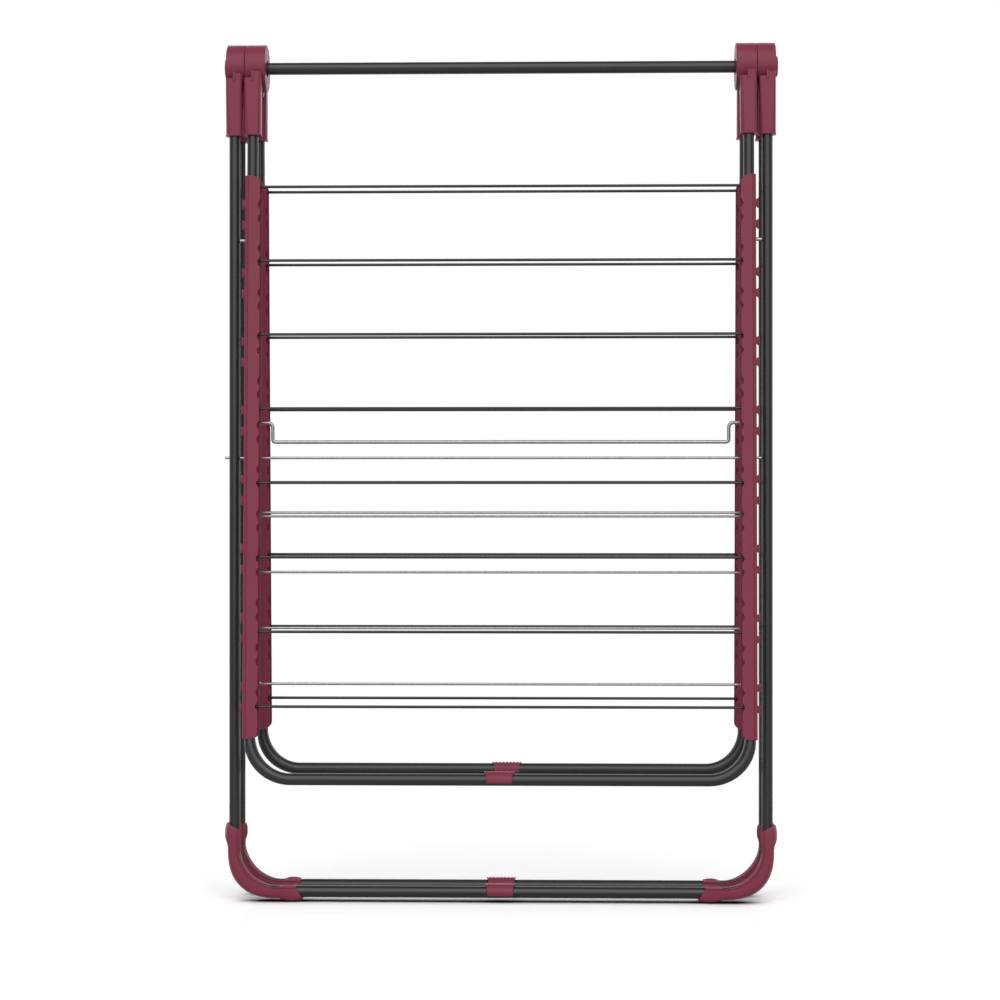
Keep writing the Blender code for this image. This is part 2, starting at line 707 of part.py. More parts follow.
def lug(hand, y, z):
    """A T-shaped stud on the rail's outer side."""
    web_out = TUBE_R + CLEARANCE + RAIL_WEB
    stem_out = web_out + LUG_STEM
    head_out = stem_out + LUG_HEAD
    half_stem, half_head = LUG_STEM_HEIGHT / 2, LUG_HEAD_HEIGHT / 2
    profile = [(web_out - RAIL_WEB / 2, half_stem), (stem_out, half_stem), (stem_out, half_head),
               (head_out, half_head), (head_out, -half_head), (stem_out, -half_head),
               (stem_out, -half_stem), (web_out - RAIL_WEB / 2, -half_stem)]
    outline = [(hand * (WING_X + u), z + v) for u, v in profile]
    return plate("lug", outline, LUG_DEPTH, facing_y(y))


def join(objects):
    """One mesh object out of several that don't touch."""
    bm = bmesh.new()
    for obj in objects:
        bm.from_mesh(obj.data)
        bpy.data.objects.remove(obj, do_unlink=True)
    return mesh_object("joined", bm)


def rail(side, hand, carrier):
    y = side * WING_OFFSET
    name = f"{END_NAMES[side]}_wing_rail_{SIDE_NAMES[hand]}"
    body = plate(name, channel_outline(hand, y), RAIL_LENGTH,
                 facing_z(-RAIL_START - RAIL_LENGTH / 2))
    lugs = [lug(hand, y, -RAIL_START - LUG_TOP_MARGIN - LUG_PITCH * i - LUG_SPACING * j)
            for i in range(LUG_PAIRS) for j in (0, 1)]
    combine(body, 'UNION', [join(lugs)], carrier)
    combine(body, 'DIFFERENCE', [scallop_cutter(hand, y)] + end_cutters(hand, y), carrier)
    return place_part(body, name, carrier, PLASTIC)


def drying_wires(side, carrier):
    y = side * WING_OFFSET
    end = WING_X - TUBE_R - CLEARANCE
    for i in range(WIRE_COUNT):
        z = -RAIL_START - WIRE_TOP_MARGIN - WIRE_PITCH * i
        name = f"{END_NAMES[side]}_wing_wire_{i + 1}"
        place_part(wire(name, [(-end, y, z), (end, y, z)], WIRE_D, 2), name, carrier, PAINT)


def stay(carrier):
    """The wire stay: pins in the front leg tubes, long arms, a jog and the crossbar."""
    arm_x, bar_x = LEG_X - STAY_ARM_INSET, LEG_X - STAY_BAR_INSET
    corners = [(LEG_X, 0, 0), (arm_x, 0, 0), (arm_x, 0, -STAY_JOG),
               (bar_x, 0, -STAY_JOG), (bar_x, 0, -STAY_REACH)]
    corners += [(-x, y, z) for x, y, z in reversed(corners)]
    bends = (STAY_PIN_BEND_R, STAY_CORNER_R, STAY_JOG_BEND_R, STAY_CORNER_R)
    points = fillet(corners, bends + bends[::-1], STAY_BEND_STEPS)
    return place_part(wire("front_stay", points, STAY_D, 2), "front_stay", carrier, ZINC)


def top_bar(carrier):
    bar = hollow_tube("top_bar", [(-HEAD_OUTER_X, 0, 0), (HEAD_OUTER_X, 0, 0)], BAR_D, BAR_WALL)
    return place_part(bar, "top_bar", carrier, PAINT)


def end_cap(hand, carrier):
    """A turned cap whose spigot fits the bar's bore."""
    face = HEAD_OUTER_X + CLEARANCE
    spigot_r = BAR_D / 2 - BAR_WALL - SPIGOT_GAP
    profile = [(face - SPIGOT_LENGTH, 0), (face - SPIGOT_LENGTH, spigot_r), (face, spigot_r),
               (face, CAP_D / 2), (face + CAP_THICKNESS - CAP_ROUND, CAP_D / 2),
               (face + CAP_THICKNESS - CAP_ROUND / 4, CAP_D / 2 - CAP_ROUND / 2),
               (face + CAP_THICKNESS, CAP_D / 2 - CAP_ROUND * 2), (face + CAP_THICKNESS, 0)]
    bm = bmesh.new()
    verts = [bm.verts.new((hand * x, 0, r)) for x, r in profile]
    edges = [bm.edges.new(pair) for pair in zip(verts, verts[1:])]
    bmesh.ops.spin(bm, geom=verts + edges, axis=(1, 0, 0), cent=(0, 0, 0),
                   angle=math.tau, steps=CAP_STEPS)
    bmesh.ops.remove_doubles(bm, verts=bm.verts, dist=WELD_DISTANCE)
    name = f"axle_cap_{SIDE_NAMES[hand]}"
    return place_part(mesh_object(name, bm), name, carrier, PLASTIC)


def shelf_rod(carrier):
    y = FRONT * LEG_OFFSET
    ends = [(-LEG_X - TUBE_R - ROD_LEFT_PROUD, y, -ROD_PIVOT),
            (LEG_X + TUBE_R - ROD_RIGHT_SHORT, y, -ROD_PIVOT)]
    return place_part(wire("shelf_rod", ends, ROD_D, 2), "shelf_rod", carrier, ZINC)


def shelf(carrier):
    """A wire grid that hangs by two eyes from the front rod."""
    eye_r = ROD_D / 2 + EYE_GAP + SHELF_WIRE_D / 2
    angles = [EYE_TURN * (1 - i / EYE_POINTS) for i in range(EYE_POINTS)]
    eye = [(eye_r * math.cos(a), eye_r * math.sin(a)) for a in angles]
    side_x = LEG_X - SHELF_SIDE_INSET
    corners = [(-side_x, eye_r, 0), (-side_x, eye_r, -SHELF_LENGTH),
               (side_x, eye_r, -SHELF_LENGTH), (side_x, eye_r, 0)]
    rim = fillet(corners, (SHELF_CORNER_R, SHELF_CORNER_R), SHELF_CORNER_STEPS)
    points = [(-side_x, y, z) for y, z in eye] + rim + [(side_x, y, z) for y, z in reversed(eye)]
    body = wire("shelf_grid", points, SHELF_WIRE_D, 2)
    pitch = (SHELF_LENGTH - SHELF_FIRST_ROW) / SHELF_GAPS
    drops = [SHELF_FIRST_ROW + pitch * row for row in range(SHELF_GAPS)]
    drops.append(SHELF_FIRST_ROW - SHELF_PAIR_SPACING)
    bars = []
    for drop in drops:
        ends = [(-side_x, eye_r, -drop), (side_x, eye_r, -drop)]
        bars.append(wire("cross_wire", ends, SHELF_WIRE_D, 2))
    combine(body, 'UNION', [join(bars)], carrier)
    return place_part(body, "shelf_grid", carrier, ZINC)


def build():
    axis = (0, AXIS_Y, AXIS_HEIGHT)
    legs = {FRONT: pivot("front_leg_pivot", axis), REAR: pivot("rear_leg_pivot", axis)}
    wings = {FRONT: pivot("front_wing_pivot", axis, -FRONT_SPLAY),
             REAR: pivot("rear_wing_pivot", axis, REAR_SPLAY)}
    top_bar(legs[FRONT])
    for hand in (LEFT, RIGHT):
        end_cap(hand, legs[FRONT])
    hinge_arms("leg", legs, LEG_X, SEAM_X + CLEARANCE, HEAD_OUTER_X, LEG_OFFSET, LEG_TRAVEL)
    spread = FRONT_SPLAY + REAR_SPLAY + 2 * WING_TRAVEL + LEG_TRAVEL
    hinge_arms("wing", wings, WING_X, SEAM_X - WING_HEAD_W, SEAM_X, WING_OFFSET, spread)
    for side in (FRONT, REAR):
        name = END_NAMES[side]
        leg_frame(side, legs[side])
        wing_frame(side, wings[side])
        for hand in (LEFT, RIGHT):
            foot(side, hand, legs[side])
            rail(side, hand, wings[side])
        clip(f"{name}_leg_clip", legs[side], side * LEG_OFFSET, LEG_REACH, 0)
        shift = REAR_CLIP_SHIFT if side == REAR else 0
        clip(f"{name}_wing_clip", wings[side], side * WING_OFFSET, WING_REACH, shift)
        drying_wires(side, wings[side])
    stay(pivot("front_stay_pivot", (0, FRONT * LEG_OFFSET, -STAY_PIVOT), 0, legs[FRONT]))
    shelf_rod(legs[FRONT])
    shelf(pivot("shelf_pivot", (0, FRONT * LEG_OFFSET, -ROD_PIVOT), 0, legs[FRONT]))


build()
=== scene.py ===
"""Looks of a folding clothes drying rack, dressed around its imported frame.

Metres, +Z up, front at -Y. Each hinged member is drawn in its own local frame:
the hinge axis is the local X axis, and the member hangs down from it, so a
distance along the member is -Z.
"""
import json
import math

import bmesh
import bpy
from mathutils import Matrix, Vector

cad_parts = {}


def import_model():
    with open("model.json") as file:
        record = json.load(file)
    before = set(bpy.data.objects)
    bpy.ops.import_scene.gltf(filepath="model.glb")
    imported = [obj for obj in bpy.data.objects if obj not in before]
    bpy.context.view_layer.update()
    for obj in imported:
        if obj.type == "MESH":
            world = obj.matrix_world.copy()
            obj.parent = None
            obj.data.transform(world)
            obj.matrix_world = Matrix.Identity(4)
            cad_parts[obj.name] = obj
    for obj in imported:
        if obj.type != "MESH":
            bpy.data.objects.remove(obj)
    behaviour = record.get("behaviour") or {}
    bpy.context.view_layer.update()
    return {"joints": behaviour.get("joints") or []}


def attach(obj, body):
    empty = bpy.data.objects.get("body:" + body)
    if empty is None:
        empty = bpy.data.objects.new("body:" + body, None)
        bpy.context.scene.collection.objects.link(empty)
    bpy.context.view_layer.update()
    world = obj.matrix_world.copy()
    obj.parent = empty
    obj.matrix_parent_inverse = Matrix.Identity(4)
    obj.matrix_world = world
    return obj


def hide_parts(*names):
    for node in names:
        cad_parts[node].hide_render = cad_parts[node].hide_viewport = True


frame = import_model()

# Signs of Y and X, and the words for them in the names of nodes
FRONT, REAR = -1, 1
LEFT, RIGHT = -1, 1
END_NAMES = {FRONT: "front", REAR: "rear"}
SIDE_NAMES = {LEFT: "left", RIGHT: "right"}

# Places taken from the frame
JOINTS = {joint["name"]: joint for joint in frame["joints"]}
AXIS = Vector(JOINTS["rear_leg_fold"]["pos_m"])
STAY_AXIS = Vector(JOINTS["front_stay_swing"]["pos_m"])
SHELF_AXIS = Vector(JOINTS["shelf_swing"]["pos_m"])

# Camera, fitted to the tube edges and wire rows in the photograph
CAMERA_PLACE = Vector((0.1037, -3.765, -0.6521))
CAMERA_TURN = (math.pi / 2 + 0.0015, 0.0, 0.02785)
CAMERA_LENS = 90.67
SENSOR_WIDTH = 36.0

# Members
TUBE_R = 0.0082
BOTTOM_R = 0.0088
LEG_X = 0.395
WING_X = 0.367
LEG_OFFSET = 0.030
WING_OFFSET = 0.0335
LEG_BEND_R = 0.062
WING_BENDS_R = {FRONT: 0.0605, REAR: 0.0570}
BEND_SWELL = 0.0009
SOLE_HEIGHT = 0.0134
LEG_RAISES = {FRONT: 0.0007, REAR: 0.0015}
LEG_REACHES = {side: AXIS.z - SOLE_HEIGHT - raised for side, raised in LEG_RAISES.items()}
WING_REACHES = {FRONT: 1.0587, REAR: 1.0602}
SPLAY = {FRONT: math.radians(-2.4), REAR: math.radians(2.8)}
TUBE_TOP = 0.0383
BAR_R = 0.009
TUBE_SIDES = 40
BEND_STEPS = 28
FIT = 0.0003
SHARP_ANGLE = math.radians(34)

# Wires, rod, stay and shelf
WIRE_R = 0.0021
WIRE_STARTS = {FRONT: 0.1837, REAR: 0.1817}
WIRE_PITCHES = {FRONT: 0.10982, REAR: 0.110}
WIRE_COUNT = 8
WIRE_SIDES = 16
STAY_R = 0.0027
STAY_ARM_X = 0.3635
STAY_BAR_X = 0.3383
STAY_JOG = 0.2712
STAY_REACH = 0.2998
STAY_BENDS = (0.006, 0.0045, 0.007, 0.0045)
ROD_R = 0.00195
ROD_LEFT_PROUD = 0.0065
SHELF_SIDE_X = 0.3625
SHELF_LENGTH = 0.336
SHELF_FIRST_ROW = 0.0867
SHELF_GAPS = 3
SHELF_PAIR_SPACING = 0.0055
SHELF_CORNER_R = 0.008
EYE_GAP = 0.0005
EYE_TURN = math.radians(300)
EYE_STEPS = 30
WIRE_BEND_STEPS = 10

# Hinge heads and sleeves
HEAD_R = 0.035
HEAD_ROUND = 0.0013
HEAD_ROUND_STEPS = 4
HEAD_SEGMENTS = 120
SEAM_X = 0.3805
LEG_HEAD_W = 0.0275
WING_HEAD_W = 0.0305
HEAD_OUTER_X = SEAM_X + FIT + LEG_HEAD_W
HEAD_GAP = 0.0006
SHELL_WALL = 0.003
TONGUE_W = 0.011
NECK_END = math.radians(16)
SLOT_MARGIN = math.radians(2)
BRIDGE_END = math.radians(42)
BRIDGE_W = 0.020
BRIDGE_THICKNESS = 0.006
LEG_TRAVEL = math.radians(27)
WING_TRAVEL = math.radians(74)
SLEEVE_HALF = 0.0123
SLEEVE_TOP = 0.0130
SLEEVE_END = 0.106
SLEEVE_RINGS = 8
SLEEVE_DROPS = {(FRONT, "leg"): 0.0, (REAR, "leg"): 0.0,
                (FRONT, "wing"): 0.0018, (REAR, "wing"): -0.0012}
TIGHT_CORNER_R = 0.0022
TIGHT_END_R = 0.0090
EASY_CORNER_R = 0.0045
EASY_END_R = 0.0063
SLEEVE_STEP = 0.0075
STEP_EDGE = 0.0012
RIM_HALF = 0.0132
RIM_HEIGHT = 0.0022
SOCKET_R = 0.0086
RIB_HALF = 0.0017
RIB_TOP = 0.0116
RIB_END = 0.0252
RIB_PROUD = 0.0011
CORNER_STEPS = 10
CAP_R = 0.0155
CAP_THICKNESS = 0.004
CAP_ROUND = 0.0022
CAP_ROUND_STEPS = 8
GROOVE_DEPTH = 0.0006
GROOVE_HALF = 0.0007
GROOVE_RADII_SHARES = (0.60, 0.84)
RECESS_R = 0.0126
RECESS_DEPTH = 0.0035
RECESS_EDGE = 0.000275

# Rails
RAIL_START = 0.1681
RAIL_LENGTH = 0.8315
RAIL_INSIDE = 0.0083
RAIL_WALL = 0.0014
RAIL_WEB = 0.0021
RAIL_CORNER_R = 0.0042
FLANGE_REACH = 0.0122
NOTCH_DEPTH = 0.0036
NOTCH_HALF = 0.0085
REAR_FLANGE_REACH = 0.0132
SCALLOP_START = 0.2213
SCALLOP_PITCH = 0.0655
SCALLOP_COUNT = 12
SMALL_LOBE = 0.0206
RAIL_TOP_R = 0.0125
RAIL_END_R = 0.0115
RAIL_EDGE = 0.0005
RAIL_CREASE = 0.0007
RAIL_STEP = 0.0016
LUG_START = 0.2098
LUG_PITCH = 0.1020
LUG_SPACING = 0.0312
LUG_PAIRS = 8
LUG_STEM = 0.0022
LUG_STEM_HEIGHT = 0.0108
LUG_HEAD = 0.0021
LUG_HEAD_HEIGHT = 0.0136
LUG_DEPTH = 0.0080
LUG_EDGE = 0.0005

# Feet
FOOT_STRAIGHT = 0.0402
FOOT_SLANT = 0.012
FOOT_TIP_R = 0.0099
FOOT_NECK_R = 0.0103
FOOT_MIDDLE_R = 0.0150
FOOT_DEPTH_R = 0.0116
FOOT_INSIDE_R = 0.0100
FOOT_SQUARENESS = 3.2
LOBE_R = 0.0144
LOBE_SOLE_R = 0.0152
LOBE_INSIDE_R = 0.0136
CREASE_DEPTH_SHARE = 0.86
SIDE_FLAT_SHARE = 0.05
LIP_LINE = math.radians(117)
LIP_LINE_HALF = math.radians(7)
LIP_LINE_DEPTH = 0.0014
CREASE_STEP = 0.0004
LOBE_AT = 0.0168
LOBE_FLAT = 0.0030
LOBE_FALL = 0.0190
LOBE_COVER = math.radians(140)
NECK_COVER = math.radians(129)
MIDDLE_COVER = math.radians(150)
FOOT_STEP = 0.0016
FOOT_EDGE = 0.0008
FOOT_EDGE_SHARES = (1 / 3, 0.7)
FOOT_SHARP_ANGLE = math.radians(27)
FOOT_ARC_STEPS = 24
FOOT_SIDE_STEPS = 5

# Clips
CLIP_HALF = 0.0187
CLIP_FLARE = 0.0031
CLIP_WALL = 0.0026
CLIP_COVER = math.radians(114)
CLIP_ARC_STEPS = 36
COMB_RISE = 0.0031
COMB_FLAT_DEPTH = 0.0035
COMB_FOOT_DEPTH = 0.0065
COMB_TEETH = 9
TOOTH_HEIGHT = 0.0012
CLIP_STEP = 0.0005
REAR_CLIP_SHIFT = 0.007
REAR_CLIP_WALL = 0.0014
REAR_COMB_RISE = 0.0012

# Studio: radiance of the tall front panel by elevation in degrees, and of what is beside it
PANEL = ((-30, 0.50), (-8, 0.56), (-5, 0.70), (-2, 0.95), (2.4, 1.30), (8, 1.76), (18, 1.86),
         (36, 2.4), (54, 2.4), (66, 1.5), (76, 0.50), (90, 0.15), (180, 0.15))
PANEL_PEAK = 2.5
PANEL_EDGE = (0.41, 0.77)
DARK_SIDE = 0.20
CEILING = 0.20
FLOOR_SEEN = 1.26
# Painted contact shadow on the floor: how far its ambient occlusion reaches, and the occlusion range over
# which the floor's colour darkens
PAINTED_SHADOW_REACH = 0.035
PAINTED_SHADOW_RANGE = (0.40, 0.92)
FLOOR_ALBEDO = 0.55
FLOOR_FADE = (0.7, 1.6)
FLOOR_R = 3.0
FLOOR_SIDES = 96
FLOOR_SHINE_SHARE = 0.06
FLOOR_SHINE_ROUGHNESS = 0.08

# Where the wall begins beside the panel, where it fades upwards, and where the floor's light begins
WALL_START = (-0.17, 0.05)
WALL_TOP = (0.57, 0.87)
BELOW_LEVEL = (-0.20, -0.03)

# Colours, linear
BURGUNDY = (0.216, 0.036, 0.065)
BURGUNDY_DEEP = (0.209, 0.034, 0.063)
CHARCOAL = (0.020, 0.020, 0.021)
CHARCOAL_LIGHT = (0.022, 0.022, 0.023)
COATING = (0.018, 0.018, 0.019)
ZINC = (0.33, 0.33, 0.34)
ZINC_LIGHT = (0.39, 0.39, 0.40)

# Surfaces: roughness as lowest, usual and highest, and noise in features per metre
PLASTIC_ROUGHNESS = (0.29, 0.30, 0.32)
PLASTIC_SPECULAR = 0.19
PLASTIC_CLOUDS = 22
PLASTIC_GRAIN = 2400
PLASTIC_RELIEF = 0.000004
PAINT_ROUGHNESS = (0.20, 0.21, 0.22)
PAINT_CLOUDS = 30
PAINT_PEEL = 900
PAINT_RELIEF = 0.000003
COATING_ROUGHNESS = (0.20, 0.22, 0.24)
COATING_GRAIN = 700
COATING_STRETCH = (0.05, 1, 1)
COATING_RELIEF = 0.000002
ZINC_ROUGHNESS = (0.24, 0.30, 0.30)
ZINC_SPOTS = 160
ZINC_GRAIN = 900
ZINC_STRETCH = (0.04, 1, 1)
ZINC_RELIEF = 0.000003
RELIEF_STRENGTH = 0.3
NOISE_MIDDLE = 0.5
COLOUR_SPREAD = 0.2
ROUGHNESS_SPREAD = 0.2


def new_material(name, roughness, metallic=0.0):
    """A material with its own Principled shader, and what is needed to add to it."""
    material = bpy.data.materials.new(name)
    material.use_nodes = True
    tree = material.node_tree
    shader = tree.nodes["Principled BSDF"]
    _, usual, _ = roughness
    shader.inputs["Roughness"].default_value = usual
    shader.inputs["Metallic"].default_value = metallic
    return material, tree, shader


def noise(tree, scale, detail, stretch=(1, 1, 1)):
    """A noise value that lies on the piece."""
    coordinates = tree.nodes.new("ShaderNodeTexCoord")
    mapping = tree.nodes.new("ShaderNodeMapping")
    mapping.inputs["Scale"].default_value = stretch
    texture = tree.nodes.new("ShaderNodeTexNoise")
    texture.inputs["Scale"].default_value = scale
    texture.inputs["Detail"].default_value = detail
    tree.links.new(coordinates.outputs["Object"], mapping.inputs["Vector"])
    tree.links.new(mapping.outputs["Vector"], texture.inputs["Vector"])
    return texture.outputs["Fac"]


def between(tree, factor, low, high):
    """A colour that drifts between two as the factor rises through its middle."""
    ramp = tree.nodes.new("ShaderNodeValToRGB")
    ramp.color_ramp.elements[0].position = NOISE_MIDDLE - COLOUR_SPREAD
    ramp.color_ramp.elements[1].position = NOISE_MIDDLE + COLOUR_SPREAD
    ramp.color_ramp.elements[0].color = (*low, 1)
    ramp.color_ramp.elements[1].color = (*high, 1)
    tree.links.new(factor, ramp.inputs["Fac"])
    return ramp.outputs["Color"]


def roughen(tree, shader, value, roughness, relief):
    """Spreads a noise value over the roughness range, and lets it raise the surface very slightly."""
    lowest, _, highest = roughness
    spread = tree.nodes.new("ShaderNodeMapRange")
    spread.inputs["From Min"].default_value = NOISE_MIDDLE - ROUGHNESS_SPREAD
    spread.inputs["From Max"].default_value = NOISE_MIDDLE + ROUGHNESS_SPREAD
    spread.inputs["To Min"].default_value = lowest
    spread.inputs["To Max"].default_value = highest
    tree.links.new(value, spread.inputs["Value"])
    tree.links.new(spread.outputs["Result"], shader.inputs["Roughness"])
    raised = tree.nodes.new("ShaderNodeBump")
    raised.inputs["Distance"].default_value = relief
    raised.inputs["Strength"].default_value = RELIEF_STRENGTH
    tree.links.new(value, raised.inputs["Height"])
    tree.links.new(raised.outputs["Normal"], shader.inputs["Normal"])


def plastic_material():
    """Moulded polypropylene, half gloss, with a very fine grain."""
    material, tree, shader = new_material("burgundy_moulding", PLASTIC_ROUGHNESS)
    shader.inputs["Specular IOR Level"].default_value = PLASTIC_SPECULAR
    clouds = noise(tree, PLASTIC_CLOUDS, 3)
    tree.links.new(between(tree, clouds, BURGUNDY_DEEP, BURGUNDY), shader.inputs["Base Color"])
    roughen(tree, shader, noise(tree, PLASTIC_GRAIN, 2), PLASTIC_ROUGHNESS, PLASTIC_RELIEF)
    return material


def paint_material():
    """Powder coat: dark grey, half gloss, with a faint orange peel."""
    material, tree, shader = new_material("charcoal_powder_coat", PAINT_ROUGHNESS)
    clouds = noise(tree, PAINT_CLOUDS, 2)
    tree.links.new(between(tree, clouds, CHARCOAL, CHARCOAL_LIGHT), shader.inputs["Base Color"])
    roughen(tree, shader, noise(tree, PAINT_PEEL, 2), PAINT_ROUGHNESS, PAINT_RELIEF)
    return material


def coating_material():
    """The thin plastic skin of the drying wires."""
    material, tree, shader = new_material("wire_coating", COATING_ROUGHNESS)
    drawn = noise(tree, COATING_GRAIN, 2, COATING_STRETCH)
    tree.links.new(between(tree, drawn, COATING, CHARCOAL_LIGHT), shader.inputs["Base Color"])
    roughen(tree, shader, drawn, COATING_ROUGHNESS, COATING_RELIEF)
    return material


def zinc_material():
    """Drawn wire with bright zinc, faintly streaked along its length."""
    material, tree, shader = new_material("bright_zinc", ZINC_ROUGHNESS, 1.0)
    spots = noise(tree, ZINC_SPOTS, 2)
    tree.links.new(between(tree, spots, ZINC, ZINC_LIGHT), shader.inputs["Base Color"])
    drawn = noise(tree, ZINC_GRAIN, 3, ZINC_STRETCH)
    roughen(tree, shader, drawn, ZINC_ROUGHNESS, ZINC_RELIEF)
    return material


PLASTIC = plastic_material()
PAINT = paint_material()
COATED = coating_material()
ZINC_WIRE = zinc_material()


def skin(rings):
    """A closed body through rings of equal length, with both ends filled."""
    bm = bmesh.new()
    loops = [[bm.verts.new(point) for point in ring] for ring in rings]
    count = len(rings[0])
    for lower, upper in zip(loops, loops[1:]):
        for i in range(count):
            j = (i + 1) % count
            bm.faces.new((lower[i], lower[j], upper[j], upper[i]))
    bm.faces.new(loops[0])
    bm.faces.new(loops[-1])
    bmesh.ops.recalc_face_normals(bm, faces=bm.faces)
    return bm


def as_object(bm, name):
    """A new object in the scene, which uses the body up."""
    mesh = bpy.data.meshes.new(name)
    bm.to_mesh(mesh)
    bm.free()
    obj = bpy.data.objects.new(name, mesh)
    bpy.context.scene.collection.objects.link(obj)
    return obj


def joined(bodies):
    """One mesh out of several closed ones."""
    whole = bmesh.new()
    for bm in bodies:
        mesh = bpy.data.meshes.new("part")
        bm.to_mesh(mesh)
        bm.free()
        whole.from_mesh(mesh)
        bpy.data.meshes.remove(mesh)
    return whole


def shaped(body, operation, tools):
    """The body object after Boolean steps with the tool objects, which are used up."""
    for tool in tools:
        modifier = body.modifiers.new("shape", 'BOOLEAN')
        modifier.operation = operation
        modifier.solver = 'EXACT'
        modifier.object = tool
    bpy.context.view_layer.update()
    evaluated = body.evaluated_get(bpy.context.evaluated_depsgraph_get())
    mesh = bpy.data.meshes.new_from_object(evaluated)
    body.modifiers.clear()
    body.data = mesh
    for tool in tools:
        bpy.data.objects.remove(tool, do_unlink=True)
    return body


def dress(obj, node, body, material, place, sharp=SHARP_ANGLE):
    """Finishes a piece that stands for a node: places it, smooths it and hangs it on its body."""
    obj.name = f"{node}_surface"
    obj.data.name = obj.name
    obj.data.transform(place)
    obj.data.materials.clear()
    obj.data.materials.append(material)
    obj.data.shade_smooth()
    obj.data.set_sharp_from_angle(angle=sharp)
    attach(obj, body)
    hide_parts(node)


def fillet(corners, radii, steps):
    """The polyline through corners, each inner corner rounded by its radius."""
    corners = [Vector(c) for c in corners]
    points = [corners[0]]
    for before, corner, after, radius in zip(corners, corners[1:], corners[2:], radii):
        inward = (before - corner).normalized()
        outward = (after - corner).normalized()
        half = inward.angle(outward) / 2
        tangent = radius / math.tan(half)
        centre = corner + (inward + outward).normalized() * radius / math.sin(half)
        start = corner + inward * tangent - centre
        axis = start.cross(corner + outward * tangent - centre).normalized()
        sweep_angle = math.pi - 2 * half
        for step in range(steps + 1):
            turn = Matrix.Rotation(sweep_angle * step / steps, 3, axis)
            points.append(centre + turn @ start)
    points.append(corners[-1])
    return points


def sweep(points, radius, sides, swollen=None):
    """A round bar along the points, with lightly rounded ends; swollen adds to its radius."""
    points = [Vector(p) for p in points]
    first = (points[1] - points[0]).normalized()
    last = (points[-1] - points[-2]).normalized()
    edge = radius / 4
    points.insert(1, points[0] + first * edge)
    points.insert(-1, points[-1] - last * edge)
    radii = [radius - edge] + [radius] * (len(points) - 2) + [radius - edge]
    if swollen:
        radii = [r + swollen(point) for r, point in zip(radii, points)]
    tangents = [(points[min(i + 1, len(points) - 1)] - points[max(i - 1, 0)]).normalized()
                for i in range(len(points))]
    across = tangents[0].orthogonal().normalized()
    rings = []
    for i, (point, tangent, r) in enumerate(zip(points, tangents, radii)):
        if i:
            across = (tangents[i - 1].rotation_difference(tangent) @ across).normalized()
        up = tangent.cross(across)
        rings.append([point + across * (r * math.cos(math.tau * k / sides))
                      + up * (r * math.sin(math.tau * k / sides)) for k in range(sides)])
    return skin(rings)


def turned(profile, segments):
    """A body turned round the local X axis from (x, radius) points."""
    return skin([[(x, r * math.sin(math.tau * k / segments), r * math.cos(math.tau * k / segments))
                  for k in range(segments)] for x, r in profile])


def prism(outline, low, high):
    """An outline in (Y, Z) with its thickness along X."""
    return skin([[(low, y, z) for y, z in outline], [(high, y, z) for y, z in outline]])


def bevelled_box(low, high, edge):
    """A box between two corners with rounded edges."""
    low, high = Vector(low), Vector(high)
    bm = bmesh.new()
    bmesh.ops.create_cube(bm, size=1)
    size = high - low
    place = Matrix.Translation((low + high) / 2) @ Matrix.Diagonal((*size, 1))
    bmesh.ops.transform(bm, matrix=place, verts=bm.verts)
    if edge:
        bmesh.ops.bevel(bm, geom=bm.edges[:], offset=edge, segments=3, profile=0.5, affect='EDGES')
    return bm


def arc(radius, start, end):
    """Points in (Y, Z) round the hinge axis, from straight down towards +Y."""
    steps = max(2, round(abs(end - start) / math.tau * HEAD_SEGMENTS))
    angles = [start + (end - start) * i / steps for i in range(steps + 1)]
    return [(radius * math.sin(a), -radius * math.cos(a)) for a in angles]


def mirrored(outline, side):
    """The outline on the front or the rear side of the axis."""
    return [(y * side, z) for y, z in outline]


def bump(distance, centre, half, flat=0.0):
    """1 within the flat half length of the centre, falling smoothly to 0 at the half width."""
    share = max(0.0, abs(distance - centre) - flat) / (half - flat)
    return math.cos(math.pi / 2 * share) ** 2 if share < 1 else 0.0


def quarter(distance, radius):
    """How far a rounded end is drawn in at a distance from its tip."""
    if distance >= radius:
        return 0.0
    return radius - math.sqrt(radius ** 2 - (radius - distance) ** 2)


def member(side, kind):
    """The local frame of a leg or wing frame, as a matrix."""
    place = Matrix.Translation(AXIS)
    if kind == "wing":
        place = place @ Matrix.Rotation(SPLAY[side], 4, 'X')
    return place


def tube_frames():
    """The four U-shaped tubes, a little wider where the bending pressed them."""
    for side in (FRONT, REAR):
        for kind, half, offset, reach, bend_r in (
                ("leg", LEG_X, LEG_OFFSET, LEG_REACHES[side], LEG_BEND_R),
                ("wing", WING_X, WING_OFFSET, WING_REACHES[side], WING_BENDS_R[side])):
            y = side * offset
            corners = [(-half, y, -TUBE_TOP), (-half, y, -reach),
                       (half, y, -reach), (half, y, -TUBE_TOP)]
            body = f"{END_NAMES[side]}_{kind}"
            swell = BEND_SWELL if kind == "wing" else 0

            def pressed(point):
                share = min(1.0, (point.z + reach) / bend_r)
                return (BOTTOM_R - TUBE_R) * (1 - share) + swell * 4 * share * (1 - share)

            path = fillet(corners, (bend_r, bend_r), BEND_STEPS)
            tube = as_object(sweep(path, TUBE_R, TUBE_SIDES, pressed), body)
            dress(tube, f"{body}_frame", body, PAINT, member(side, kind))


def top_bar():
    """The tube between the heads, which is the axle of all eight arms."""
    ends = [(-HEAD_OUTER_X, 0, 0), (HEAD_OUTER_X, 0, 0)]
    bar = as_object(sweep(ends, BAR_R, TUBE_SIDES), "bar")
    dress(bar, "top_bar", "front_leg", PAINT, Matrix.Translation(AXIS))


